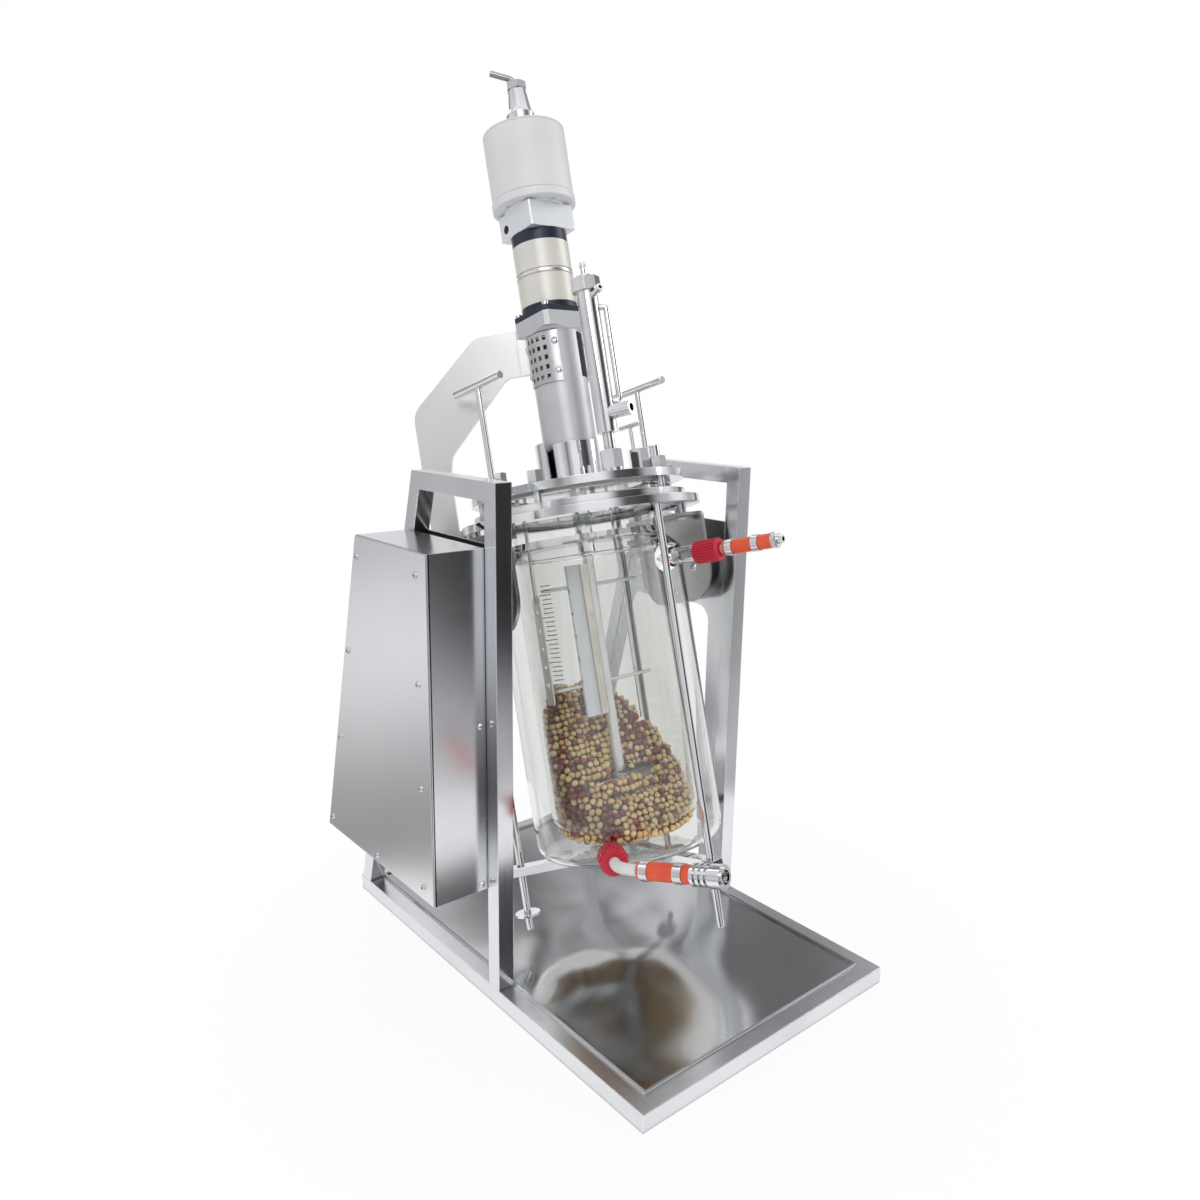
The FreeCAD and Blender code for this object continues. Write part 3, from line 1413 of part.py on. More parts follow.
VESSEL = {
    "trunnions": lambda: [trunnion(-1), trunnion(1)],
    "cradle_plates": lambda: [cradle_plate(-1), cradle_plate(1)],
    "cradle_bolts": cradle_bolts,
    "carrier_ring": carrier_ring,
    "clamp_ring": clamp_ring,
    "glass_vessel": glass_vessel,
    "glass_jacket": glass_jacket,
    "flange_gasket": flange_gasket,
    "head_plate": head_plate,
    "lid_bolts": lid_bolts,
    "vessel_legs": vessel_legs,
    "leg_spider": leg_spider,
    "vessel_pads": vessel_pads,
    "drive_collar": drive_collar,
    "shaft_bearings": shaft_bearings,
    "collar_shield": collar_shield,
    "lantern_housing": lantern_housing,
    "guard_plates": lambda: [guard_plate(0.0), guard_plate(180.0)],
    "drive_screws": drive_screws,
    "gearhead_ends": lambda: [gear_flange(), motor_ring()],
    "gearhead": gearhead,
    "adapter_block": adapter_block,
    "motor_can": motor_can,
    "cable_gland": cable_gland,
    "gland_tube": gland_tube,
    "arm_plate": arm_plate,
    "condenser_body": condenser_body,
    "condenser_cap": condenser_cap,
    "condenser_nut": condenser_nut,
    "lid_handles": lid_handles,
    "port_plugs": port_plugs,
    "agitator_shaft": agitator_shaft,
    "paddle": paddle,
    "paddle_strip": paddle_strip,
    "mixing_blade": mixing_blade,
    "shaft_coupling": shaft_coupling,
    "baffle_strip": baffle_strip,
    "dip_tube": dip_tube,
    "bean_fill": bean_fill,
    "upper_port_cap": upper_port_cap,
    "upper_port_tube": upper_port_tube,
    "upper_port_hose": upper_port_hose,
    "upper_coupling": upper_coupling,
    "lower_port_cap": lower_port_cap,
    "lower_port_tube": lower_port_tube,
    "lower_port_hose": lower_port_hose,
    "lower_coupling": lower_coupling,
    "hose_clamps": hose_clamps,
}


def hung(shape):
    """Tip an upright vessel piece to the rest angle and hang it on the tilt axis."""
    lower = FreeCAD.Placement(V(0, 0, -pivot_on_vessel), FreeCAD.Rotation())
    tip = FreeCAD.Placement(V(0, pivot_y, pivot_z), FreeCAD.Rotation(V(1, 0, 0), -rest_tilt))
    copy = shape.copy()
    copy.Placement = tip.multiply(lower).multiply(copy.Placement)
    return copy


def write(name, made, place):
    """Write one node as a STEP file."""
    pieces = made if isinstance(made, list) else [made]
    solids = []
    for piece in pieces:
        solids.extend(place(piece).Solids)
    for solid in solids:
        if not solid.isValid() or solid.Volume <= 0:
            raise ValueError(name + " has a faulty solid")
    shape = solids[0] if len(solids) == 1 else Part.makeCompound(solids)
    shape.exportStep("parts/" + name + ".step")
    print(name, len(solids), round(sum(solid.Volume for solid in solids) / 1000, 2), "cm3")


os.makedirs("parts", exist_ok=True)
for node, make in STAND.items():
    write(node, make(), lambda piece: piece)
for node, make in VESSEL.items():
    write(node, make(), hung)
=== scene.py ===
"""Bench bioreactor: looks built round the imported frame, laid out as an add-on."""
import json
import math

import bpy
import numpy as np
from mathutils import Matrix, Vector, kdtree


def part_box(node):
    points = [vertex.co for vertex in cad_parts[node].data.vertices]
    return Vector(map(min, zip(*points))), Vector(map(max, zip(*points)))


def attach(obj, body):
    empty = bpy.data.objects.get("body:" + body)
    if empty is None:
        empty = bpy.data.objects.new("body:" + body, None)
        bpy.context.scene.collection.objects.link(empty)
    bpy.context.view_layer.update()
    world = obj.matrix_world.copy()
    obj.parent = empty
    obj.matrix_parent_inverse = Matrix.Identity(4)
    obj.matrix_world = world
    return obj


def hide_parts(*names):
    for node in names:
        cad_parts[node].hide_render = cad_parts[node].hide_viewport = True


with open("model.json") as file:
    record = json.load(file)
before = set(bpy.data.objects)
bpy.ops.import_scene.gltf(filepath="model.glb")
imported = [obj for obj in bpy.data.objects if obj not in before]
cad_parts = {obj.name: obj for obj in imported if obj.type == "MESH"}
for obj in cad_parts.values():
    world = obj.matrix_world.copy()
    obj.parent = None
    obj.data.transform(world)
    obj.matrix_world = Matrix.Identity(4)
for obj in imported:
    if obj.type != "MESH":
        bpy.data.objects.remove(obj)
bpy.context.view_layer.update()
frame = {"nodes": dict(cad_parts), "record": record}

bl_info = {
    "name": "Bench Bioreactor",
    "version": (1, 0, 0),
    "blender": (4, 5, 0),
    "location": "3D View > Sidebar > Bioreactor",
    "description": "Finishes, beans and fine detail of a tilting bench bioreactor",
    "category": "Object",
}

NODES = frame["nodes"]
TILT, SPIN = frame["record"]["behaviour"]["joints"]
PIVOT = Vector(TILT["pos_m"])
AXIS = Vector(SPIN["axis"]).normalized()
FOOT_DROP = 0.298            # the glass's underside below the tilt axis
# from the upright vessel (height above the glass's underside) to where it hangs
HUNG = (Matrix.Translation(PIVOT)
        @ Vector((0, 0, 1)).rotation_difference(AXIS).to_matrix().to_4x4()
        @ Matrix.Translation((0, 0, -FOOT_DROP)))


# ---- building shader trees ----
def add(tree, kind, values=None, **settings):
    """New node: its settings first, then its inputs, each set to a value or linked."""
    node = tree.nodes.new("ShaderNode" + kind)
    for label, value in settings.items():
        setattr(node, label, value)
    for label, value in (values or {}).items():
        if isinstance(value, bpy.types.NodeSocket):
            tree.links.new(value, node.inputs[label])
        else:
            node.inputs[label].default_value = value
    return node


def figure(tree, operation, *terms, clamp=False):
    """Result of one step of arithmetic."""
    return add(tree, "Math", dict(enumerate(terms)), operation=operation,
               use_clamp=clamp).outputs[0]


def object_place(tree):
    """Place in the object's own frame."""
    return add(tree, "TexCoord").outputs["Object"]


def ranged(tree, value, limits, to=None, curve="LINEAR"):
    """Value mapped from two limits to nought and one, or to two other values."""
    inputs = {"Value": value, "From Min": limits[0], "From Max": limits[1]}
    if to:
        inputs["To Min"], inputs["To Max"] = to
    return add(tree, "MapRange", inputs, interpolation_type=curve).outputs["Result"]


def ramp_value(tree, mask, low, high):
    """Number that runs from low to high with a mask."""
    return add(tree, "MapRange", {"Value": mask, "To Min": low, "To Max": high}).outputs["Result"]


def blend_colour(tree, mask, low, high, kind="MIX"):
    """Colour that runs from low to high with a mask; each is three numbers or a socket."""
    low, high = (c if isinstance(c, bpy.types.NodeSocket) else (*c, 1) for c in (low, high))
    return add(tree, "Mix", {"Factor": mask, "A": low, "B": high}, data_type="RGBA",
               blend_type=kind).outputs["Result"]


# ---- shared node groups ----
def new_group(name, inputs, outputs):
    """Empty shader group with float or vector inputs and outputs."""
    group = bpy.data.node_groups.new(name, "ShaderNodeTree")
    for label, kind, value in inputs:
        socket = group.interface.new_socket(label, in_out="INPUT", socket_type=kind)
        socket.default_value = value
    for label, kind in outputs:
        group.interface.new_socket(label, in_out="OUTPUT", socket_type=kind)
    given = group.nodes.new("NodeGroupInput").outputs
    return group, given, group.nodes.new("NodeGroupOutput").inputs


def grain_group():
    """Fine lines left by brushing: a noise stretched along one axis of the object."""
    group, given, out = new_group(
        "brushed_grain",
        [("Stretch", "NodeSocketVector", (400, 400, 12)), ("Contrast", "NodeSocketFloat", 1.0)],
        [("Mask", "NodeSocketFloat")])
    scale = add(group, "VectorMath", {0: object_place(group), 1: given["Stretch"]},
                operation="MULTIPLY")
    noise = add(group, "TexNoise", {"Vector": scale.outputs[0], "Scale": 1.0, "Detail": 3.0,
                                    "Roughness": 0.65})
    centred = figure(group, "SUBTRACT", noise.outputs["Fac"], 0.5)
    gain = figure(group, "MULTIPLY_ADD", centred, given["Contrast"], 0.5, clamp=True)
    group.links.new(gain, out["Mask"])
    return group


def mottle_group():
    """Soft uneven patches, as handling and cleaning leave them."""
    group, given, out = new_group(
        "handling_patches",
        [("Size", "NodeSocketFloat", 14.0), ("Detail", "NodeSocketFloat", 4.0),
         ("Low", "NodeSocketFloat", 0.35), ("High", "NodeSocketFloat", 0.65)],
        [("Mask", "NodeSocketFloat")])
    noise = add(group, "TexNoise", {"Vector": object_place(group), "Scale": given["Size"],
                                    "Detail": given["Detail"]})
    group.links.new(ranged(group, noise.outputs["Fac"], (given["Low"], given["High"])),
                    out["Mask"])
    return group


EDGE_MATCH = (0.995, 0.90)   # agreement of flat and rounded normal, off an edge and on it
CREVICE_REACH = 0.005
CREVICE_OPEN = (0.85, 0.25)  # openness of plain ground, and deep in a crevice


def edge_group():
    """Sharp edges shaded as if rounded, a mask of where they are, and one of crevices."""
    group, given, out = new_group(
        "rounded_edges", [("Radius", "NodeSocketFloat", 0.001)],
        [("Normal", "NodeSocketVector"), ("Edge", "NodeSocketFloat"),
         ("Crevice", "NodeSocketFloat")])
    rounded = add(group, "Bevel", {"Radius": given["Radius"]}, samples=4).outputs["Normal"]
    flat = add(group, "NewGeometry").outputs["True Normal"]
    match = add(group, "VectorMath", {0: rounded, 1: flat}, operation="DOT_PRODUCT")
    near = add(group, "AmbientOcclusion", {"Distance": CREVICE_REACH}, samples=4)
    group.links.new(rounded, out["Normal"])
    group.links.new(ranged(group, match.outputs["Value"], EDGE_MATCH), out["Edge"])
    group.links.new(ranged(group, near.outputs["AO"], CREVICE_OPEN), out["Crevice"])
    return group


GROUPS = {}


def group_node(tree, name, **values):
    """Outputs of a shared group, placed in a material with its own values."""
    if name not in GROUPS:
        GROUPS[name] = {"grain": grain_group, "mottle": mottle_group, "edge": edge_group}[name]()
    return add(tree, "Group", values, node_tree=GROUPS[name]).outputs


# ---- materials ----
def blank(name):
    """New material with its tree and the inputs of its Principled shader."""
    material = bpy.data.materials.new(name)
    material.use_nodes = True
    tree = material.node_tree
    return material, tree, tree.nodes["Principled BSDF"].inputs


def bump(tree, shader, mask, depth, normal=None):
    """Relief of a mask, depth in metres, over a normal where there is one."""
    inputs = {"Distance": depth, "Height": mask}
    if normal is not None:
        inputs["Normal"] = normal
    tree.links.new(add(tree, "Bump", inputs).outputs["Normal"], shader["Normal"])


WEAR_AND_GLINT_GAIN, WEAR_AND_GLINT_LIFT = 1.15, 0.02    # how much brighter a finish is painted on its edges: partly wear, partly a painted highlight


def surface(name, colour, shade, rough, metallic, stretch, depth, patch, edge=0.0005, painted_crevice_shade=0.6,
            contrast=1.0):
    """Opaque finish: colour drifts to its shade in patches, edges get a brighter colour (wear and
    a painted highlight), creases get painted shade, and the grain moves roughness and relief."""
    material, tree, shader = blank(name)
    grain = group_node(tree, "grain", Stretch=stretch, Contrast=contrast)["Mask"]
    patches = group_node(tree, "mottle", Size=patch)["Mask"]
    tone = blend_colour(tree, patches, colour, shade)
    normal = None
    if edge:
        edges = group_node(tree, "edge", Radius=edge)
        normal = edges["Normal"]
        # painted highlight along the edges, partly wear: a brighter copy of the colour
        wear_and_glint = tuple(min(1.0, c * WEAR_AND_GLINT_GAIN + WEAR_AND_GLINT_LIFT) for c in colour)
        tone = blend_colour(tree, edges["Edge"], tone, wear_and_glint)
        # painted shade: the colour darkens where the ambient-occlusion mask finds crevices
        tone = blend_colour(tree, edges["Crevice"], tone, (1 - painted_crevice_shade,) * 3, "MULTIPLY")
    tree.links.new(tone, shader["Base Color"])
    tree.links.new(ramp_value(tree, grain, *rough), shader["Roughness"])
    shader["Metallic"].default_value = metallic
    if depth:
        bump(tree, shader, grain, depth, normal)
    elif normal is not None:
        tree.links.new(normal, shader["Normal"])
    return material


def distance_mask(tree, centre, reach, low, high):
    """Value that runs smoothly from low at a point of the object to high at its reach."""
    away = add(tree, "VectorMath", {0: object_place(tree), 1: centre}, operation="DISTANCE")
    return ranged(tree, away.outputs["Value"], (0.0, reach), (low, high), "SMOOTHERSTEP")


SWIRL_FAR = 0.12             # share of the swirls that is left beyond their reach
DIMPLE_RISE = 0.75           # height of the sheet round its dimple, in depths of the swirls


def rolled_sheet(name, colour, shade, rough, wave, depth, swirl, dimple):
    """Thin bright sheet that isn't quite flat: reflections swim in wide soft swirls round one
    point and dip at another; swirl and dimple are each a place and a reach."""
    material, tree, shader = blank(name)
    patches = group_node(tree, "mottle", Size=6.0)["Mask"]
    swell = group_node(tree, "mottle", Size=wave, Detail=0.6, Low=0.0, High=1.0)["Mask"]
    tree.links.new(blend_colour(tree, patches, colour, shade), shader["Base Color"])
    tree.links.new(ramp_value(tree, patches, *rough), shader["Roughness"])
    shader["Metallic"].default_value = 1.0
    total = figure(tree, "MULTIPLY_ADD", swell, distance_mask(tree, *swirl, 1.0, SWIRL_FAR),
                   distance_mask(tree, *dimple, 0.0, DIMPLE_RISE))
    bump(tree, shader, total, depth)
    return material


PANEL_SEAM_IN, PANEL_SEAM_HALF = 0.0016, 0.0007   # shut line between the box and its side panel
SEAM_DARK = (0.03, 0.03, 0.032)


def dark_seam(material, x, half):
    """Darken a finish along a shut line that lies in one upright plane."""
    tree = material.node_tree
    colour = tree.nodes["Principled BSDF"].inputs["Base Color"]
    source = colour.links[0].from_socket
    split = add(tree, "SeparateXYZ", {0: object_place(tree)})
    near = figure(tree, "COMPARE", split.outputs["X"], x, half)
    tree.links.new(blend_colour(tree, near, source, SEAM_DARK), colour)


GLASS_DRIFT = 0.985          # how little the glass's tint drifts
GLASS_INDEX = 1.47


def clear_glass(name, tint):
    """Clear borosilicate glass."""
    material, tree, shader = blank(name)
    patches = group_node(tree, "mottle", Size=9.0)["Mask"]
    drifted = tuple(c * GLASS_DRIFT for c in tint)
    tree.links.new(blend_colour(tree, patches, tint, drifted), shader["Base Color"])
    shader["Roughness"].default_value = 0.0
    shader["Transmission Weight"].default_value = 1.0
    shader["IOR"].default_value = GLASS_INDEX
    return material


FLECK_DARK, FLECK_SHARE = (0.55, 0.5, 0.45), 0.22
BEAN_CREVICE = (0.26, 0.16, 0.12)
BEAN_ROUGH = (0.26, 0.42)


def bean_skin(name, attribute):
    """Bean skins: each bean's own tone, faint flecks, and shadow where beans touch."""
    material, tree, shader = blank(name)
    tone = add(tree, "Attribute", attribute_name=attribute).outputs["Color"]
    patches = group_node(tree, "mottle", Size=260.0, Low=0.3, High=0.7)["Mask"]
    flecks = blend_colour(tree, patches, FLECK_DARK, (1, 1, 1))
    tone = blend_colour(tree, FLECK_SHARE, tone, flecks, "MULTIPLY")
    tone = blend_colour(tree, group_node(tree, "edge")["Crevice"], tone, BEAN_CREVICE, "MULTIPLY")
    tree.links.new(tone, shader["Base Color"])
    tree.links.new(ramp_value(tree, patches, *BEAN_ROUGH), shader["Roughness"])
    return material


ROUND = (900, 900, 900)      # an even grain
# finish: name, colour, the shade it drifts to (None: the settings' steel), roughness, metallic,
# grain per metre, relief in metres, patches per metre, edge radius, painted crevice shade, grain's
# contrast
SURFACES = {
    "post_steel": ("polished_tube", None, None, (0.12, 0.20), 1.0, (500, 500, 9), 3e-6, 8, 0.0014),
    "rail_steel": ("polished_rail", None, None, (0.22, 0.30), 1.0, (500, 9, 500), 3e-6, 8, 0.0018),
    "mirror": ("mirror_sheet", None, None, (0.16, 0.22), 1.0, (60, 60, 60), 0, 5, 0.0008),
    "box": ("box_sheet", None, None, (0.17, 0.23), 1.0, (60, 6, 60), 0, 5, 0.0010),
    "panel": ("satin_panel", (0.85, 0.855, 0.865), (0.80, 0.805, 0.82), (0.27, 0.31), 1.0,
        (40, 6, 60), 0, 4, 0.0008, 0.6, 0.6),
    "plate": ("satin_plate", (0.58, 0.58, 0.57), (0.50, 0.50, 0.49), (0.24, 0.36), 1.0,
        (300, 8, 900), 6e-6, 9),
    "arm": ("light_satin", (0.90, 0.895, 0.88), (0.84, 0.835, 0.82), (0.26, 0.38), 1.0,
        (200, 200, 700), 6e-6, 12),
    "chrome": ("turned_chrome", (0.88, 0.89, 0.90), (0.80, 0.81, 0.83), (0.05, 0.11), 1.0, ROUND,
        3e-6, 30),
    "screw": ("screw_steel", (0.82, 0.82, 0.83), (0.70, 0.70, 0.72), (0.14, 0.28), 1.0, ROUND,
        6e-6, 80, 0.0003),
    "guard": ("guard_sheet", (0.66, 0.66, 0.67), (0.58, 0.58, 0.60), (0.28, 0.4), 1.0,
        (900, 900, 60), 8e-6, 40, 0.0003),
    "bearing": ("ground_steel", (0.66, 0.66, 0.68), (0.56, 0.56, 0.58), (0.22, 0.36), 1.0, ROUND,
        1e-5, 30),
    "blade": ("blade_steel", (0.86, 0.86, 0.86), (0.76, 0.76, 0.76), (0.3, 0.4), 0.7, ROUND, 1e-5,
        60, 0.0006, 0.3),
    "shaft": ("ground_shaft", (0.93, 0.94, 0.95), (0.86, 0.87, 0.88), (0.34, 0.44), 0.55, ROUND,
        3e-6, 30, 0.0005, 0.1),
    "strip": ("warm_strip", (0.84, 0.80, 0.72), (0.70, 0.67, 0.62), (0.16, 0.26), 0.85,
        (60, 60, 12), 3e-6, 26),
    "housing": ("silver_paint", (0.66, 0.67, 0.69), (0.60, 0.61, 0.63), (0.30, 0.42), 0.45, ROUND,
        3e-5, 20),
    "gearbox": ("cast_case", (0.46, 0.47, 0.48), (0.38, 0.39, 0.4), (0.5, 0.7), 0.8,
        (420, 420, 420), 1.2e-4, 30),
    "black": ("motor_paint", (0.02, 0.02, 0.022), (0.03, 0.03, 0.033), (0.35, 0.5), 0.0, ROUND,
        3e-5, 30),
    "navy": ("dark_anodised", (0.020, 0.024, 0.045), (0.030, 0.034, 0.055), (0.24, 0.36), 0.3,
        ROUND, 2e-5, 30, 0.0007),
    "cream": ("cream_paint", (0.78, 0.75, 0.69), (0.72, 0.71, 0.66), (0.24, 0.34), 0.12, ROUND,
        2e-5, 18),
    "band": ("seam_band", (0.90, 0.90, 0.89), (0.80, 0.80, 0.79), (0.14, 0.24), 0.8, ROUND, 5e-6,
        30, 0.0003),
    "block": ("satin_aluminium", (0.90, 0.925, 0.95), (0.85, 0.875, 0.90), (0.34, 0.46), 0.6,
        ROUND, 3e-5, 30, 0.0008, 0.1),
    "cover": ("white_cover", (0.78, 0.78, 0.79), (0.73, 0.73, 0.745), (0.36, 0.48), 0.0,
        (500, 500, 500), 3e-5, 16, 0.0007, 0.1),
    "gland": ("gland_metal", (0.80, 0.81, 0.83), (0.70, 0.71, 0.73), (0.14, 0.26), 1.0, ROUND,
        1e-5, 40),
    "tube": ("dark_tube", (0.42, 0.42, 0.43), (0.30, 0.30, 0.31), (0.10, 0.2), 1.0, ROUND, 1e-5,
        60),
    "seal": ("soft_seal", (0.74, 0.76, 0.75), (0.66, 0.68, 0.67), (0.5, 0.65), 0.0, ROUND, 3e-5,
        40),
    "red_cap": ("red_cap", (0.66, 0.010, 0.045), (0.56, 0.008, 0.035), (0.28, 0.4), 0.0, ROUND,
        3e-5, 60, 0.0004),
    "hose": ("orange_hose", (0.88, 0.11, 0.04), (0.80, 0.08, 0.03), (0.28, 0.38), 0.0, ROUND, 3e-5,
        60),
    "polymer": ("white_polymer", (0.86, 0.86, 0.85), (0.80, 0.80, 0.79), (0.30, 0.42), 0.0, ROUND,
        2e-5, 50),
    "paddle": ("blade_polymer", (0.92, 0.95, 0.99), (0.88, 0.91, 0.96), (0.24, 0.34), 0.0, ROUND,
        1e-5, 30),
    "plug": ("black_plug", (0.012, 0.012, 0.013), (0.02, 0.02, 0.021), (0.4, 0.55), 0.0, ROUND,
        2e-5, 60, 0.0003),
    "bean_depth": ("bean_shadow", (0.045, 0.022, 0.012), (0.02, 0.008, 0.005), (0.7, 0.9), 0.0,
        ROUND, 4e-4, 200, 0),
    # painted shade: near-black sheets behind the guards' holes
    "liner": ("dark_liner", (0.012, 0.012, 0.012), (0.02, 0.02, 0.02), (0.6, 0.8), 0.0, ROUND, 0,
        30, 0),
    "print": ("grey_print", (0.13, 0.13, 0.14), (0.18, 0.18, 0.19), (0.5, 0.6), 0.0, ROUND, 0, 90,
        0),
}
TRAY_SWIRL = ((-0.030, -0.020, 0.02), 0.19)
TRAY_DIMPLE = ((-0.088, -0.128, 0.02), 0.150)
MATERIALS = {}


def make_materials():
    """Every finish of the machine, by the name its pieces use."""
    steel = bpy.context.scene.bioreactor_metal
    for finish, (name, colour, shade, *rest) in SURFACES.items():
        MATERIALS[finish] = surface(name, colour or tuple(steel.bright),
                                    shade or tuple(steel.shade), *rest)
    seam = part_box("drive_box_shell")[0][0] + PANEL_SEAM_IN
    dark_seam(MATERIALS["box"], seam, PANEL_SEAM_HALF)
    MATERIALS["tray"] = rolled_sheet("rolled_tray", (0.69, 0.70, 0.71), (0.62, 0.63, 0.64),
                                     (0.11, 0.17), 10.5, 0.010, TRAY_SWIRL, TRAY_DIMPLE)
    MATERIALS["glass"] = clear_glass("vessel_glass", (0.912, 0.917, 0.908))
    MATERIALS["beans"] = bean_skin("bean_skin", "tone")


FINISH = {
    "post_steel": ("left_side_frame", "right_side_frame"),
    "rail_steel": ("base_frame",),
    "mirror": ("right_side_plate",),
    "box": ("drive_box_shell",),
    "tray": ("base_tray",),
    "panel": ("drive_box_panel",),
    "plate": ("left_side_plate", "cradle_plates"),
    "arm": ("arm_plate", "baffle_strip"),
    "shaft": ("agitator_shaft",),
    "strip": ("paddle_strip",),
    "chrome": ("carrier_ring", "clamp_ring", "head_plate", "drive_collar", "collar_shield",
               "vessel_legs", "leg_spider", "condenser_body", "condenser_cap", "condenser_nut",
               "lid_handles", "port_plugs", "dip_tube", "upper_coupling", "lower_coupling",
               "trunnions"),
    "screw": ("drive_box_screws", "cradle_bolts", "lid_bolts", "drive_screws", "hose_clamps"),
    "guard": ("guard_plates",),
    "bearing": ("trunnion_bearings", "shaft_bearings", "shaft_coupling"),
    "blade": ("mixing_blade",),
    "housing": ("lantern_housing",),
    "gearbox": ("tilt_gearbox",),
    "black": ("tilt_motor",),
    "navy": ("gearhead_ends",),
    "cream": ("gearhead",),
    "block": ("adapter_block",),
    "cover": ("motor_can",),
    "gland": ("cable_gland",),
    "tube": ("gland_tube",),
    "glass": ("glass_vessel", "glass_jacket"),
    "seal": ("flange_gasket", "vessel_pads"),
    "red_cap": ("upper_port_cap", "lower_port_cap"),
    "hose": ("upper_port_hose", "lower_port_hose"),
    "polymer": ("upper_port_tube", "lower_port_tube"),
    "paddle": ("paddle",),
    "beans": ("bean_fill",),
}


# ---- settings ----
class StageSettings(bpy.types.PropertyGroup):
    """Camera, floor and lamps."""
    lens: bpy.props.FloatProperty(name="Lens", description="Focal length", default=28.93, min=10,
                                  unit="CAMERA")
    floor_colour: bpy.props.FloatVectorProperty(
        name="Floor", description="Colour of the floor", subtype="COLOR",
        default=(0.86, 0.86, 0.87), min=0, max=1)
    lamp_power: bpy.props.FloatProperty(name="Lamps", description="Power of the main lamp",
                                        default=13.0, min=0, unit="POWER")
    sky: bpy.props.FloatProperty(name="Sky", description="Level of the all-round light",
                                 default=0.72, min=0)


class MetalSettings(bpy.types.PropertyGroup):
    """Colours of the polished steel."""
    bright: bpy.props.FloatVectorProperty(
        name="Bright steel", description="Colour of polished steel", subtype="COLOR",
        default=(0.80, 0.81, 0.83), min=0, max=1)
    shade: bpy.props.FloatVectorProperty(
        name="Shaded steel", description="Colour it drifts to", subtype="COLOR",
        default=(0.72, 0.73, 0.76), min=0, max=1)


class BeanSettings(bpy.types.PropertyGroup):
    """The heap of beans."""
    diameter: bpy.props.FloatProperty(name="Diameter", description="Mean bean diameter",
                                      default=0.0079, min=0.004, unit="LENGTH")
    dark_share: bpy.props.FloatProperty(name="Dark share", description="Share of dark beans",
                                        default=0.20, min=0, max=1, subtype="FACTOR")
    pocket_share: bpy.props.FloatProperty(
        name="Pocket share", description="Share of dark beans in a pocket", default=0.78,
        min=0, max=1, subtype="FACTOR")
    layers: bpy.props.FloatProperty(
        name="Depth", description="Depth of beans kept under the surface", default=0.013,
        unit="LENGTH")


# ---- shared modelling steps ----
def only(*objects):
    """Select these objects and nothing else, the first of them active."""
    bpy.ops.object.select_all(action="DESELECT")
    for obj in objects:
        obj.select_set(True)
    bpy.context.view_layer.objects.active = objects[0]


def fix(obj):
    """Put an object's place, turn and size into its mesh."""
    only(obj)
    bpy.ops.object.transform_apply(location=True, rotation=True, scale=True)


def settle(obj, name, body, material, hung=False):
    """Name a piece, put its place into its mesh, and let it ride."""
    obj.name = name
    obj.data.name = name
    fix(obj)
    if hung:
        obj.data.transform(HUNG)
    obj.data.materials.clear()
    obj.data.materials.append(MATERIALS[material])
    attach(obj, body)
    return obj


def finish_shape(obj, *steps):
    """Add modifiers one after another, each applied at once."""
    only(obj)
    for kind, values in steps:
        modifier = obj.modifiers.new(kind.lower(), kind)
        for label, value in values.items():
            setattr(modifier, label, value)
        bpy.ops.object.modifier_apply(modifier=modifier.name)


def start(kind, **values):
    """Add a primitive with nothing else selected."""
    bpy.ops.object.select_all(action="DESELECT")
    getattr(bpy.ops.mesh, "primitive_" + kind + "_add")(**values)
    return bpy.context.object


def pick_faces(obj, test):
    """In edit mode, select the faces whose middle and normal pass a test."""
    bpy.ops.mesh.select_mode(type="FACE")
    bpy.ops.mesh.select_all(action="DESELECT")
    bpy.ops.object.mode_set(mode="OBJECT")
    for face in obj.data.polygons:
        face.select = bool(test(face.center, face.normal))
    bpy.ops.object.mode_set(mode="EDIT")


def spun_bar(radius, height, thick, width, angle, steps):
    """Thin bar bent round the upright axis, a small upright section spun through an angle."""
    bar = start("plane", size=1.0, location=(radius, 0, height), rotation=(math.pi / 2, 0, 0))
    bar.scale = (thick, width, 1)
    fix(bar)
    bpy.ops.object.mode_set(mode="EDIT")
    bpy.ops.mesh.select_all(action="SELECT")
    bpy.ops.mesh.spin(steps=steps, angle=angle, center=(0, 0, height), axis=(0, 0, 1))
    bpy.ops.mesh.select_all(action="SELECT")
    bpy.ops.mesh.remove_doubles(threshold=0.00001)
    bpy.ops.mesh.normals_make_consistent(inside=False)
    bpy.ops.object.mode_set(mode="OBJECT")
    return bar


def one_mesh(parts):
    """Join parts into the first of them."""
    only(*parts)
    bpy.ops.object.join()
    return bpy.context.object


# ---- pieces ----
class BIOREACTOR_OT_finishes(bpy.types.Operator):
    """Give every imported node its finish"""
    bl_idname = "bioreactor.finishes"
    bl_label = "Finishes"

    def execute(self, context):
        make_materials()
        for finish, names in FINISH.items():
            for name in names:
                for place in NODES[name].material_slots:
                    place.material = MATERIALS[finish]
        return {"FINISHED"}


# the heap, in the upright vessel's frame
HEAP_ON_AXIS = 0.105         # its surface on the vessel's axis, above the glass's underside
HEAP_SLOPE = math.radians(49.0)   # its rise to the rear
BEAN_BORE = 0.0795
DISH_LOW, DISH_FLAT_R, DISH_CURVE = 0.0155, 0.062, 0.018    # the glass's bottom under the beans
# columns and discs that the agitator and the dip tube keep clear: x, y, radius, lowest, highest
KEPT_CLEAR = ((0.0, 0.0, 0.0078, 0.0585, 1.0), (0.0, 0.0, 0.0105, 0.062, 0.082),
              (0.0, 0.0, 0.038, 0.149, 1.0), (0.0, 0.0, 0.069, 0.183, 1.0),
              (0.0687, 0.0275, 0.004, 0.126, 1.0))
SWEEP = (0.0, 0.0, 0.0515, 0.0614, 0.0826)       # the blades' disc, which still beans keep clear
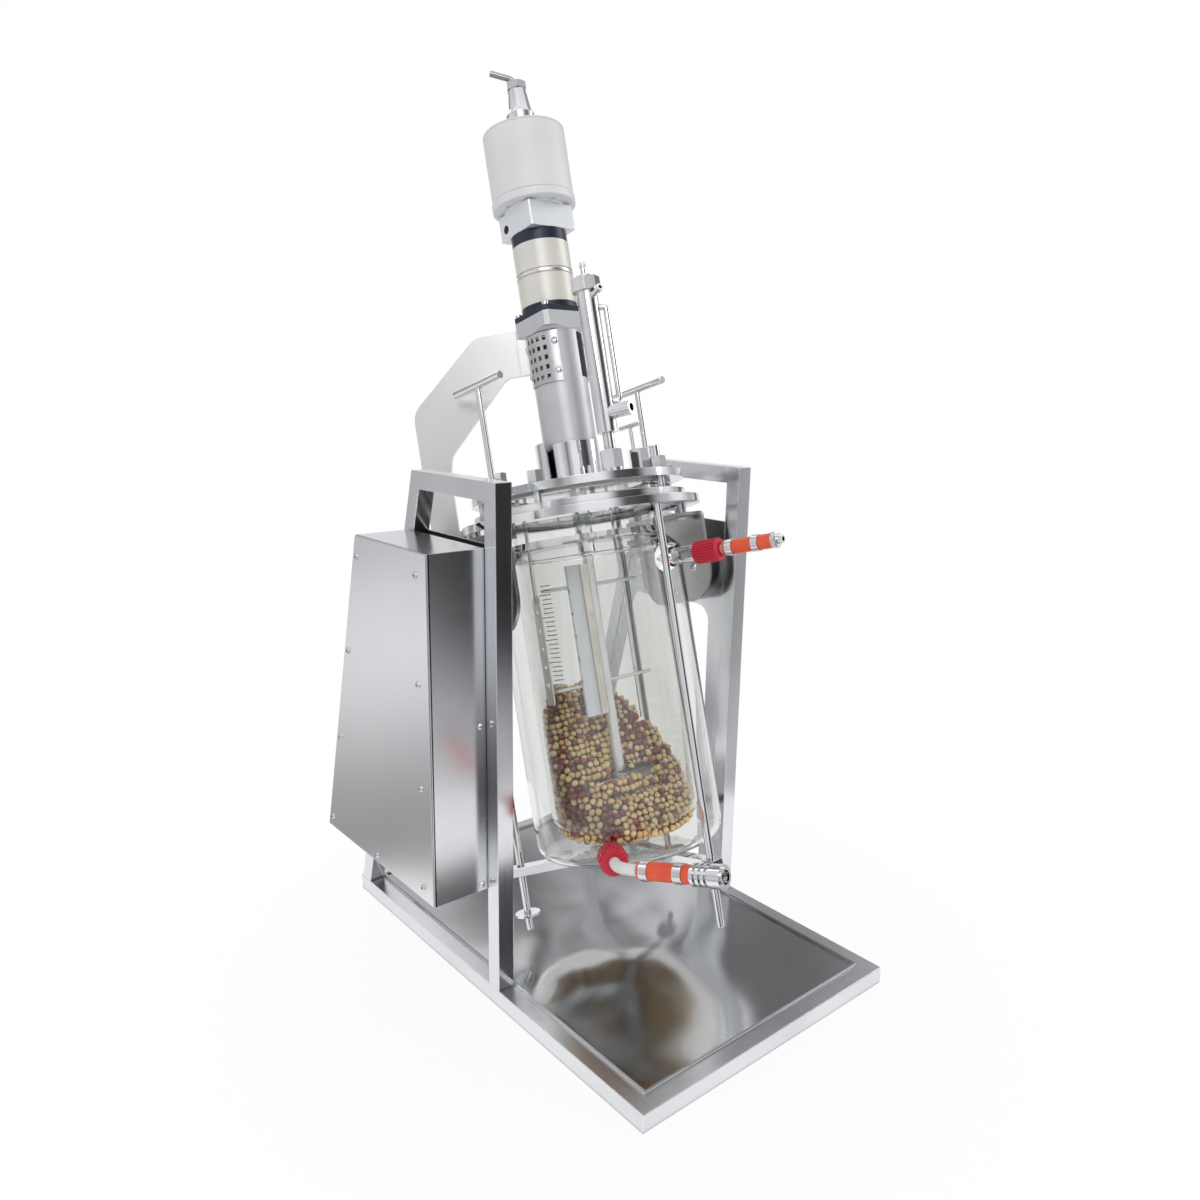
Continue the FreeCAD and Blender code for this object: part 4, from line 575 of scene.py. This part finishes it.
# where beans lie between the blades and turn with them
STIRRED_R, STIRRED_LOW, STIRRED_HIGH = 0.0499, 0.0630, 0.0810
# room round the two blades, which lie along X
BLADE_HALF, BLADE_Z, BLADE_RISE = 0.052, 0.072, 0.0065
BLADE_BACK, BLADE_FRONT = 0.0085, -0.0085
# where one blade lies bare
HOLLOW_FROM, HOLLOW_TO, HOLLOW_FRONT, HOLLOW_BACK, HOLLOW_FLOOR = (
    0.013, 0.035, -0.042, 0.001, 0.0728)
TROUGH_WAY = (-0.643, -0.766)   # the side on which the shaft's foot lies open
TROUGH_LENGTH, TROUGH_HALF, TROUGH_FLOOR = 0.042, 0.0100, 0.0895
# pockets of mostly dark beans: place, reach
POCKETS = ((-0.052, 0.052, 0.160, 0.016), (0.050, 0.012, 0.120, 0.020),
           (0.030, 0.040, 0.150, 0.014), (-0.078, -0.010, 0.060, 0.020),
           (-0.060, -0.045, 0.040, 0.018), (0.028, -0.030, 0.068, 0.012),
           (-0.030, 0.062, 0.172, 0.012), (-0.070, 0.010, 0.105, 0.012),
           (0.0, -0.078, 0.03, 0.012))


def outside_column(p, column):
    """Distance out of an upright column: x, y, radius, lowest, highest."""
    cx, cy, cr, low, high = column
    z = p[:, 2]
    return np.maximum(np.hypot(p[:, 0] - cx, p[:, 1] - cy) - cr, np.maximum(low - z, z - high))


def heap_tests(part):
    """Signed distance into the heap, for points in the upright vessel frame (metres): the
    still part, the part stirred with the blades, or the whole."""
    level, rise = math.cos(HEAP_SLOPE), math.sin(HEAP_SLOPE)
    columns = KEPT_CLEAR + ((SWEEP,) if part == "still" else ())

    def inside(p, r):
        x, y, z = p[:, 0], p[:, 1], p[:, 2]
        rho = np.hypot(x, y)
        under = (HEAP_ON_AXIS - z) * level + y * rise
        dish = z - DISH_LOW - np.clip(rho - DISH_FLAT_R, 0, None) ** 2 / DISH_CURVE
        clear = [outside_column(p, column) for column in columns]
        along = x * TROUGH_WAY[0] + y * TROUGH_WAY[1]
        across = x * TROUGH_WAY[1] - y * TROUGH_WAY[0]
        clear.append(np.maximum.reduce([-along, along - TROUGH_LENGTH,
                                        np.abs(across) - TROUGH_HALF, TROUGH_FLOOR - z]))
        clear.append(np.maximum.reduce([np.abs(x) - BLADE_HALF, y - BLADE_BACK, BLADE_FRONT - y,
                                        np.abs(z - BLADE_Z) - BLADE_RISE]))
        clear.append(np.maximum.reduce([HOLLOW_FROM - x, x - HOLLOW_TO, y - HOLLOW_BACK,
                                        HOLLOW_FRONT - y, HOLLOW_FLOOR - z]))
        if part == "stirred":
            clear += [STIRRED_R - rho, z - STIRRED_LOW, STIRRED_HIGH - z]
        return np.minimum.reduce([BEAN_BORE - rho, under, dish] + clear) - r

    return inside


LEAST_SLOPE = 0.3            # flatter places count as this steep, so that no point flies off


def pushed_in(p, inside, depth, e):
    """Move the points that lie shallower than a depth down to it, along the steepest way in."""
    for again in range(3):
        short = depth - inside(p, 0)
        out = short > 0
        if not out.any():
            break
        q = p[out]
        slope = np.stack([inside(q + np.eye(3)[a] * e, 0) - inside(q - np.eye(3)[a] * e, 0)
                          for a in range(3)], 1) / (2 * e)
        length = np.linalg.norm(slope, axis=1, keepdims=True)
        p[out] += slope / np.maximum(length, LEAST_SLOPE) * short[out][:, None]
    return p


# packing, in bean diameters: the first grid's pitch, jitter and margin, the touching distance,
# the largest move in one round, how far a bean may stand out of the heap, and the step that
# slopes are measured over
GRID_PITCH, GRID_JITTER, GRID_MARGIN = 0.965, 0.16, 0.2
TOUCH, LARGEST_MOVE, STAND_OUT, PROBE = 0.98, 0.4, 0.06, 0.05
SHAKES, SHAKE_SHARE = 14, 0.42
ROW_PITCH, LAYER_PITCH = 0.87, 0.82      # rows and layers of the grid, in its pitch
GRID_WIDTH, GRID_HEIGHT = 0.17, 0.21
GRID_CORNER, GRID_LIFT = (0.085, 0.08, 0), 0.012


def pack_beans(diameter, rng, inside):
    """Centres of touching beans that fill a part of the heap, by shaking a loose grid apart."""
    step = diameter * GRID_PITCH
    n = int(GRID_WIDTH / step) + 1
    grid = []
    for k in range(int(GRID_HEIGHT / (step * LAYER_PITCH))):
        for j in range(n):
            for i in range(n):
                grid.append((i * step + (j % 2) * step / 2 + (k % 2) * step / 3,
                             j * step * ROW_PITCH + (k % 2) * step / 2.2,
                             k * step * LAYER_PITCH))
    p = np.array(grid) - GRID_CORNER
    p[:, 2] += GRID_LIFT
    p += rng.normal(0, diameter * GRID_JITTER, p.shape)
    p = p[inside(p, diameter * GRID_MARGIN) > 0]
    reach = diameter * TOUCH
    most = diameter * LARGEST_MOVE
    for shake in range(SHAKES):
        tree = kdtree.KDTree(len(p))
        for i, q in enumerate(p):
            tree.insert(q, i)
        tree.balance()
        move = np.zeros_like(p)
        for i, q in enumerate(p):
            for other, j, gap in tree.find_range(q, reach):
                if j != i and gap > 1e-9:
                    move[i] += (q - np.array(other)) / gap * (reach - gap) * SHAKE_SHARE
        p += np.clip(move, -most, most)
        p = pushed_in(p, inside, diameter * 0.5, diameter * PROBE)
    return p[inside(p, diameter * 0.5) > -diameter * STAND_OUT]


BEAN_SEED = 7
BEAN_SIZES = (0.9, 1.03)     # smallest and largest, in mean diameters
# the two kinds' colours, darkest and palest, and how the tones lean between them
PALE_TONES = ((0.88, 0.52, 0.18), (1.0, 0.81, 0.41))
DARK_TONES = ((0.16, 0.018, 0.014), (0.42, 0.075, 0.050))
TONE_LEAN = 0.8
BEAN_SHAPE = (1.0, 0.96, 0.93)


def bean_mesh(name, centres, tones, diameter, rng, shape, faces):
    """One mesh of many beans, each turned, sized and toned on its own."""
    verts, polys, colours = [], [], []
    for centre in centres:
        a, b, c = rng.random(3) * 2 * math.pi
        spin = np.array(Matrix.Rotation(a, 3, "X") @ Matrix.Rotation(b, 3, "Y")
                        @ Matrix.Rotation(c, 3, "Z"))
        size = diameter * rng.uniform(*BEAN_SIZES)
        base = len(verts)
        verts.extend(map(tuple, shape @ spin.T * size + centre))
        polys.extend(tuple(base + v for v in f) for f in faces)
        shift = rng.random() ** TONE_LEAN
        colour = [low + (high - low) * shift for low, high in zip(*tones)]
        colours.extend([(*colour, 1.0)] * len(shape))
    mesh = bpy.data.meshes.new(name)
    mesh.from_pydata(verts, [], polys)
    layer = mesh.color_attributes.new("tone", "FLOAT_COLOR", "POINT")
    layer.data.foreach_set("color", np.array(colours, dtype=np.float32).ravel())
    print(name, len(centres), "beans")
    return bpy.data.objects.new(name, mesh)


def bean_seed():
    """Points and faces of one bean of unit size."""
    seed = start("uv_sphere", segments=8, ring_count=6, radius=0.5)
    bpy.ops.object.mode_set(mode="EDIT")
    bpy.ops.mesh.select_all(action="SELECT")
    bpy.ops.transform.resize(value=BEAN_SHAPE)
    bpy.ops.object.mode_set(mode="OBJECT")
    shape = np.array([v.co for v in seed.data.vertices])
    faces = [tuple(f.vertices) for f in seed.data.polygons]
    bpy.data.objects.remove(seed)
    return shape, faces


CORE_SHRINK = 0.9            # depth of the shadowed middle under the surface, in bean diameters
CORE_TOP = 0.142             # its upper end, above the glass's underside
CORE_VOXEL, CORE_PROBE = 0.003, 0.0004


class BIOREACTOR_OT_beans(bpy.types.Operator):
    """Fill the vessel with beans of two kinds"""
    bl_idname = "bioreactor.beans"
    bl_label = "Beans"

    def execute(self, context):
        set_up = context.scene.bioreactor_beans
        rng = np.random.default_rng(BEAN_SEED)
        whole = heap_tests("whole")
        still = pack_beans(set_up.diameter, rng, heap_tests("still"))
        stirred = pack_beans(set_up.diameter, rng, heap_tests("stirred"))
        shape, faces = bean_seed()
        for label, body, centres in (("", "vessel", still), ("stirred_", "agitator", stirred)):
            centres = centres[whole(centres, 0) < set_up.layers]
            share = np.full(len(centres), set_up.dark_share)
            for x, y, z, reach in POCKETS:
                near = np.exp(-((centres - (x, y, z)) ** 2).sum(axis=1) / reach ** 2)
                share = share + (set_up.pocket_share - share) * near
            dark = rng.random(len(centres)) < share
            for kind, members, tones in (("pale_beans", ~dark, PALE_TONES),
                                         ("dark_beans", dark, DARK_TONES)):
                name = label + kind
                heap = bean_mesh(name, centres[members], tones, set_up.diameter, rng, shape, faces)
                context.collection.objects.link(heap)
                settle(heap, name, body, "beans", hung=True)
                bpy.ops.object.shade_smooth()
                if body == "vessel":
                    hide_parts("bean_fill")
        self.add_core(context, whole, set_up.diameter * CORE_SHRINK)
        return {"FINISHED"}

    def add_core(self, context, whole, depth):
        """Shadowed middle of the heap, clear of the disc that the stirred beans sweep."""
        core = bpy.data.objects.new("bean_core", NODES["bean_fill"].data.copy())
        context.collection.objects.link(core)
        only(core)
        bpy.ops.object.mode_set(mode="EDIT")
        bpy.ops.mesh.select_all(action="SELECT")
        bpy.ops.mesh.remove_doubles(threshold=0.00002)
        bpy.ops.mesh.normals_make_consistent(inside=False)
        bpy.ops.mesh.select_all(action="SELECT")
        bpy.ops.mesh.bisect(plane_co=HUNG @ Vector((0, 0, CORE_TOP)), plane_no=AXIS,
                            use_fill=True, clear_outer=True)
        bpy.ops.object.mode_set(mode="OBJECT")
        remesh = ("REMESH", {"mode": "VOXEL", "voxel_size": CORE_VOXEL})
        finish_shape(core, remesh, ("DISPLACE", {"strength": -depth, "mid_level": 0.0}), remesh)
        core.data.transform(HUNG.inverted())
        points = np.array([v.co for v in core.data.vertices])
        points = pushed_in(points, whole, depth, CORE_PROBE)
        core.data.vertices.foreach_set("co", points.astype(np.float32).ravel())
        core.data.transform(HUNG)
        reach, low, high = SWEEP[2:]
        room = start("cylinder", vertices=72, radius=reach, depth=high - low,
                     location=(0, 0, (low + high) / 2))
        fix(room)
        room.data.transform(HUNG)
        finish_shape(core, remesh,
                     ("BOOLEAN", {"operation": "DIFFERENCE", "solver": "EXACT", "object": room}))
        bpy.data.objects.remove(room)
        settle(core, "bean_core", "vessel", "bean_depth")
        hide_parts("bean_fill")


SEAM_LOW = 0.6425            # the gearhead's seam band, between its two grooves
SEAM_HEIGHT = 0.0037
SEAM_R = 0.0318
SEAM_WALL = 0.0012
SMOOTH_BELOW = math.radians(40)      # edges sharper than this stay sharp


class BIOREACTOR_OT_seam_band(bpy.types.Operator):
    """Bright band round the gearhead's seam"""
    bl_idname = "bioreactor.seam_band"
    bl_label = "Seam band"

    def execute(self, context):
        band = start("cylinder", vertices=96, radius=SEAM_R, depth=SEAM_HEIGHT,
                     end_fill_type="NOTHING", location=(0, 0, SEAM_LOW + SEAM_HEIGHT / 2))
        finish_shape(band, ("SOLIDIFY", {"thickness": SEAM_WALL, "offset": -1.0}),
                     ("BEVEL", {"width": 0.0004, "segments": 3, "limit_method": "ANGLE"}))
        bpy.ops.object.shade_smooth_by_angle(angle=SMOOTH_BELOW)
        settle(band, "seam_band", "vessel", "band", hung=True)
        return {"FINISHED"}


BLOCK_FACE = -0.030          # left face of the adapter block
HOLE_Y, HOLE_Z, HOLE_R, HOLE_DEPTH = 0.018, 0.702, 0.0047, 0.004
PLUG_SIDE_GAP, PLUG_END_GAP = 0.0001, 0.0002
PLUG_STEPS = ((0.0007, 0.0012), (0.0018, 0.0006))   # the dish: inset and depth of each step


class BIOREACTOR_OT_block_plug(bpy.types.Operator):
    """Dished black plug in the hole of the adapter block"""
    bl_idname = "bioreactor.block_plug"
    bl_label = "Block plug"

    def execute(self, context):
        depth = HOLE_DEPTH - PLUG_END_GAP
        plug = start("cylinder", vertices=40, radius=HOLE_R - PLUG_SIDE_GAP, depth=depth,
                     location=(BLOCK_FACE + HOLE_DEPTH - depth / 2, HOLE_Y, HOLE_Z),
                     rotation=(0, math.pi / 2, 0))
        fix(plug)
        bpy.ops.object.mode_set(mode="EDIT")
        pick_faces(plug, lambda middle, normal: normal.x < -0.9)
        for inset, drop in PLUG_STEPS:
            bpy.ops.mesh.inset(thickness=inset)
            bpy.ops.transform.translate(value=(drop, 0, 0))
        bpy.ops.object.mode_set(mode="OBJECT")
        finish_shape(plug, ("BEVEL", {"width": 0.00015, "segments": 2, "limit_method": "ANGLE"}))
        bpy.ops.object.shade_smooth_by_angle(angle=SMOOTH_BELOW)
        settle(plug, "block_plug", "vessel", "plug", hung=True)
        return {"FINISHED"}


SHADE_SHEET_R = 0.03045            # between the lantern and its guards
SHADE_SHEET_LOW, SHADE_SHEET_HEIGHT = 0.526, 0.050
SHADE_SHEET_FROM, SHADE_SHEET_TO = math.radians(-199.0), math.radians(-145.0)
SHADE_SHEET_THICK = 0.00012


class BIOREACTOR_OT_guard_shade_sheet(bpy.types.Operator):
    """Black sheets behind the square holes of both guards, painted shade for the dark inside"""
    bl_idname = "bioreactor.guard_liner"
    bl_label = "Guard liner"

    def execute(self, context):
        # black sheets that stand for the shade seen through the guards' holes
        parts = []
        for turn in (0.0, math.pi):
            liner = spun_bar(SHADE_SHEET_R, SHADE_SHEET_LOW + SHADE_SHEET_HEIGHT / 2, SHADE_SHEET_THICK, SHADE_SHEET_HEIGHT,
                             SHADE_SHEET_TO - SHADE_SHEET_FROM, 20)
            liner.rotation_euler.z = SHADE_SHEET_FROM + turn
            fix(liner)
            parts.append(liner)
        liner = one_mesh(parts)
        settle(liner, "guard_liner", "vessel", "liner", hung=True)
        return {"FINISHED"}


MARK_R = 0.0837              # marks on the outside of the inner glass
MARK_FROM, MARK_PITCH, MARK_COUNT = 0.196, 0.0048, 23
MARKS_PER_NUMBER = 5
MARK_AZIMUTH = math.radians(-160.0)
MARK_LENGTH, LONG_MARK, MARK_WIDTH = 0.0125, 0.0165, 0.0009
MARK_THICK = 0.0001
NUMBER_SIZE, NUMBER_GAP = 0.0062, 0.005


class BIOREACTOR_OT_graduation(bpy.types.Operator):
    """Scale of fine marks and plain numbers on the inner glass"""
    bl_idname = "bioreactor.graduation"
    bl_label = "Graduation"

    def execute(self, context):
        short, long = (spun_bar(MARK_R, MARK_FROM, MARK_THICK, MARK_WIDTH, length / MARK_R, 5)
                       for length in (MARK_LENGTH, LONG_MARK))
        parts = []
        for i in range(MARK_COUNT):
            numbered = i % MARKS_PER_NUMBER == 0
            mark = bpy.data.objects.new("mark", (long if numbered else short).data.copy())
            mark.location.z = i * MARK_PITCH
            mark.rotation_euler.z = MARK_AZIMUTH
            context.collection.objects.link(mark)
            parts.append(mark)
            if numbered:
                parts.append(self.number(str(1 + i // MARKS_PER_NUMBER), i * MARK_PITCH))
        for seed in (short, long):
            bpy.data.objects.remove(seed)
        for part in parts:
            fix(part)
        scale = one_mesh(parts)
        settle(scale, "graduation", "vessel", "print", hung=True)
        return {"FINISHED"}

    def number(self, words, rise):
        """One number beside a long mark, as a thin mesh."""
        bpy.ops.object.select_all(action="DESELECT")
        bpy.ops.object.text_add()
        number = bpy.context.object
        number.data.body = words
        number.data.size = NUMBER_SIZE
        number.data.extrude = MARK_THICK / 2
        number.data.align_x = "CENTER"
        number.data.align_y = "CENTER"
        bpy.ops.object.convert(target="MESH")
        turn = MARK_AZIMUTH + (LONG_MARK + NUMBER_GAP) / MARK_R
        number.matrix_world = (
            Matrix.Rotation(turn, 4, "Z")
            @ Matrix.Translation((MARK_R + MARK_THICK, 0, MARK_FROM + rise))
            @ Matrix.Rotation(math.pi / 2, 4, "Z") @ Matrix.Rotation(math.pi / 2, 4, "X"))
        return number


# ---- stage ----
FLOOR_DRIFT, FLOOR_ROUGH, FLOOR_SIZE = 0.99, 0.9, 30
FLOOR_FADE = (0.22, 0.55)    # the floor's own glow grows between these distances
FLOOR_GLOW = (0.92, 1.0)
# name, place, aim, size, share of the lamps' power
LAMPS = (("key_lamp", (-1.6, -1.5, 2.2), (0, 0, 0.4), 1.4, 1.0),
         ("side_lamp", (2.0, -0.6, 1.6), (0, 0, 0.4), 1.2, 0.6),
         ("back_lamp", (0.4, 2.2, 2.0), (0, 0, 0.5), 1.6, 0.5))
SURROUND_R, SURROUND_HEIGHT = 2.6, 3.6
GROUND_FROM, GROUND_LIFT = 0.48, 0.003   # inner edge of the glowing ground of the surround, and its height
CAMERA_PLACE = (-0.67834, -0.76242, 0.64554)
CAMERA_TURN = (77.3084, -0.8975, -39.7479)
SENSOR_WIDTH = 36.0
# brightness of the glowing surround by its compass angle, in degrees: it paints the metal's
# reflections
GROUND_NEAR = ((-180, 0.5), (-158, 0.5), (-142, 0.10), (-134, 0.02), (-116, 0.02), (-106, 0.25),
               (-92, 0.75), (-81, 0.64), (-75, 0.50), (-71, 0.56), (-66, 0.42), (-58, 0.25),
               (-48, 0.5), (0, 0.6), (60, 0.6), (100, 0.5), (120, 0.40), (130, 0.33), (140, 0.30),
               (180, 0.5))
GROUND_FAR = ((-180, 0.75), (-150, 0.72), (-126, 0.75), (-100, 0.6), (-84, 0.40), (-72, 0.32),
              (-68, 0.20), (-65, 0.02), (-56, 0.01), (-46, 0.2), (-30, 0.6), (0, 0.8), (60, 0.8),
              (100, 0.7), (118, 0.76), (124, 0.92), (132, 0.95), (150, 0.8), (180, 0.75))
WALL_LOW = ((-180, 0.8), (-152, 0.5), (-128, 0.8), (-100, 0.7), (-80, 0.03), (-54, 0.03),
            (-42, 0.4), (-20, 0.9), (0, 0.45), (20, 0.85), (60, 0.9), (88, 0.85), (104, 0.30),
            (116, 0.45), (128, 0.60), (160, 0.6), (180, 0.8))
WALL_HIGH = ((-180, 0.65), (-160, 0.5), (-150, 0.22), (-140, 0.5), (-128, 0.85), (-104, 0.9),
             (-84, 0.10), (-62, 0.06), (-44, 0.5), (-20, 0.85), (-6, 0.3), (0, 0.14), (10, 0.4),
             (20, 0.55), (31, 0.17), (39, 0.17), (42.5, 0.85), (45, 0.60), (49, 0.22), (53, 0.45),
             (58, 0.13), (66, 0.42), (80, 0.85), (92, 0.5), (100, 0.2), (112, 0.3), (124, 0.6),
             (140, 0.8), (180, 0.65))
WALL_SPAN, GROUND_SPAN = (0.8, 1.35), (0.6, 1.5)    # where the first table gives way to the second


def sum_seen(tree):
    """One for camera, glossy and transmitted rays, else nought."""
    path = add(tree, "LightPath").outputs
    seen = figure(tree, "MAXIMUM", path["Is Camera Ray"], path["Is Glossy Ray"])
    return figure(tree, "MAXIMUM", seen, path["Is Transmission Ray"])


def angle_ramp(tree, turn, stops):
    """Grey levels by compass angle."""
    bands = add(tree, "ValToRGB", {"Fac": turn})
    bands.color_ramp.interpolation = "EASE"
    ramp = bands.color_ramp.elements
    for stop, (degrees, level) in ((ramp[0], stops[0]), (ramp[1], stops[-1])):
        stop.position, stop.color = (degrees + 180) / 360, (level,) * 3 + (1,)
    for degrees, level in stops[1:-1]:
        stop = ramp.new((degrees + 180) / 360)
        stop.color = (level, level, min(1.0, level * 1.02), 1)
    return bands.outputs["Color"]


def reflection_glow_surround(name, first, second, span, axis):
    """Glowing grey surround round the set, which only the metal's gloss sees: a painted
    reflection.
    One table gives way to the other with height, or with distance from the middle."""
    material = bpy.data.materials.new(name)
    material.use_nodes = True
    tree = material.node_tree
    tree.nodes.remove(tree.nodes["Principled BSDF"])
    place = object_place(tree)
    split = add(tree, "SeparateXYZ", {0: place}).outputs
    angle = figure(tree, "ARCTAN2", split["Y"], split["X"])
    turn = ranged(tree, angle, (-math.pi, math.pi))
    if axis:
        measure = split[axis]
    else:
        measure = add(tree, "VectorMath", {0: place}, operation="LENGTH").outputs["Value"]
    mix = blend_colour(tree, ranged(tree, measure, span, curve="SMOOTHSTEP"),
                       angle_ramp(tree, turn, first), angle_ramp(tree, turn, second))
    # the surround glows though it is no lamp, and only reflections see it: painted reflections
    glow = add(tree, "Emission", {"Color": mix})
    tree.links.new(glow.outputs[0], tree.nodes["Material Output"].inputs["Surface"])
    return material


def hang_card(card, name, mirrored_glow):
    """Make a glowing card of the surround, which camera, floor and glass don't see."""
    card.name = name
    fix(card)
    card.data.materials.append(mirrored_glow)
    card.visible_camera = False
    card.visible_diffuse = False
    card.visible_transmission = False
    card.visible_shadow = False


def floor_material(colour):
    """Pale floor that glows to white away from the object, for the rays that are seen."""
    material, tree, shader = blank("pale_floor")
    patches = group_node(tree, "mottle", Size=1.5)["Mask"]
    drifted = tuple(c * FLOOR_DRIFT for c in colour)
    tree.links.new(blend_colour(tree, patches, colour, drifted), shader["Base Color"])
    shader["Roughness"].default_value = FLOOR_ROUGH
    away = add(tree, "VectorMath", {0: object_place(tree)}, operation="LENGTH")
    fade = ranged(tree, away.outputs["Value"], FLOOR_FADE, FLOOR_GLOW, "SMOOTHSTEP")
    mix = add(tree, "MixShader", {
        "Fac": figure(tree, "MULTIPLY", sum_seen(tree), fade),
        1: tree.nodes["Principled BSDF"].outputs[0], 2: add(tree, "Emission").outputs[0]})
    tree.links.new(mix.outputs[0], tree.nodes["Material Output"].inputs["Surface"])
    return material


class BIOREACTOR_OT_stage(bpy.types.Operator):
    """Floor, lamps, world and camera"""
    bl_idname = "bioreactor.stage"
    bl_label = "Stage"

    def execute(self, context):
        scene = context.scene
        set_up = scene.bioreactor_stage
        scene.view_settings.view_transform = "Standard"
        floor = start("plane", size=FLOOR_SIZE, location=(0, 0, 0))
        floor.name = "floor"
        floor.data.materials.append(floor_material(tuple(set_up.floor_colour)))
        self.add_world(scene, set_up.sky)
        self.add_lamps(scene, set_up.lamp_power)
        self.add_surround()
        self.add_camera(scene, set_up.lens)
        for name in ("glass_vessel", "glass_jacket"):
            NODES[name].visible_shadow = False
        return {"FINISHED"}

    def add_world(self, scene, sky):
        """White all round where it is seen, and softer as a light."""
        world = bpy.data.worlds.new("studio")
        world.use_nodes = True
        scene.world = world
        tree = world.node_tree
        back = tree.nodes["Background"].inputs
        back["Color"].default_value = (1, 1, 1, 1)
        tree.links.new(ramp_value(tree, sum_seen(tree), sky, 1.0), back["Strength"])

    def add_lamps(self, scene, power):
        """Large soft lamps round the object."""
        for name, place, target, size, share in LAMPS:
            data = bpy.data.lights.new(name, "AREA")
            data.shape = "SQUARE"
            data.size = size
            data.energy = power * share
            lamp = bpy.data.objects.new(name, data)
            lamp.location = place
            way = Vector(target) - Vector(place)
            lamp.rotation_euler = way.to_track_quat("-Z", "Y").to_euler()
            scene.collection.objects.link(lamp)

    def add_surround(self):
        """Glowing wall and ground, which only the metal mirrors: painted reflections."""
        wall_glow_for_reflections = reflection_glow_surround("wall_glow_for_reflections", WALL_LOW, WALL_HIGH, WALL_SPAN, "Z")
        ground_glow_for_reflections = reflection_glow_surround("ground_glow_for_reflections", GROUND_NEAR, GROUND_FAR, GROUND_SPAN, None)
        wall = start("cylinder", vertices=96, radius=SURROUND_R, depth=SURROUND_HEIGHT,
                     end_fill_type="NOTHING", location=(0, 0, SURROUND_HEIGHT / 2))
        hang_card(wall, "surround_wall", wall_glow_for_reflections)
        ground = start("circle", vertices=96, radius=SURROUND_R, fill_type="NGON",
                       location=(0, 0, GROUND_LIFT))
        bpy.ops.object.mode_set(mode="EDIT")
        bpy.ops.mesh.select_all(action="SELECT")
        bpy.ops.mesh.inset(thickness=SURROUND_R - GROUND_FROM)
        bpy.ops.mesh.delete(type="FACE")
        bpy.ops.object.mode_set(mode="OBJECT")
        hang_card(ground, "surround_ground", ground_glow_for_reflections)

    def add_camera(self, scene, lens):
        """Camera on the front left, a little above the lid."""
        data = bpy.data.cameras.new("camera")
        data.lens = lens
        data.sensor_width = SENSOR_WIDTH
        camera = bpy.data.objects.new("camera", data)
        camera.location = CAMERA_PLACE
        camera.rotation_euler = [math.radians(a) for a in CAMERA_TURN]
        scene.collection.objects.link(camera)
        scene.camera = camera


class BIOREACTOR_PT_panel(bpy.types.Panel):
    """Sidebar panel with every step"""
    bl_idname = "BIOREACTOR_PT_panel"
    bl_label = "Bench Bioreactor"
    bl_space_type = "VIEW_3D"
    bl_region_type = "UI"
    bl_category = "Bioreactor"

    def draw(self, context):
        for name, group in SETTINGS.items():
            for label in group.__annotations__:
                self.layout.prop(getattr(context.scene, name), label)
        for step in STEPS:
            self.layout.operator(step.bl_idname)


STEPS = (BIOREACTOR_OT_finishes, BIOREACTOR_OT_beans, BIOREACTOR_OT_seam_band,
         BIOREACTOR_OT_block_plug, BIOREACTOR_OT_guard_shade_sheet, BIOREACTOR_OT_graduation,
         BIOREACTOR_OT_stage)
SETTINGS = {"bioreactor_stage": StageSettings, "bioreactor_metal": MetalSettings,
            "bioreactor_beans": BeanSettings}


def register():
    """Add the settings, the steps and the panel."""
    for name, group in SETTINGS.items():
        bpy.utils.register_class(group)
        setattr(bpy.types.Scene, name, bpy.props.PointerProperty(type=group))
    for step in STEPS + (BIOREACTOR_PT_panel,):
        bpy.utils.register_class(step)


def unregister():
    """Take them away again."""
    for step in reversed(STEPS + (BIOREACTOR_PT_panel,)):
        bpy.utils.unregister_class(step)
    for name, group in SETTINGS.items():
        delattr(bpy.types.Scene, name)
        bpy.utils.unregister_class(group)


def main():
    """Build the whole visual model."""
    register()
    bpy.ops.bioreactor.finishes()
    bpy.ops.bioreactor.beans()
    bpy.ops.bioreactor.seam_band()
    bpy.ops.bioreactor.block_plug()
    bpy.ops.bioreactor.guard_liner()
    bpy.ops.bioreactor.graduation()
    bpy.ops.bioreactor.stage()


if __name__ == "__main__":
    main()
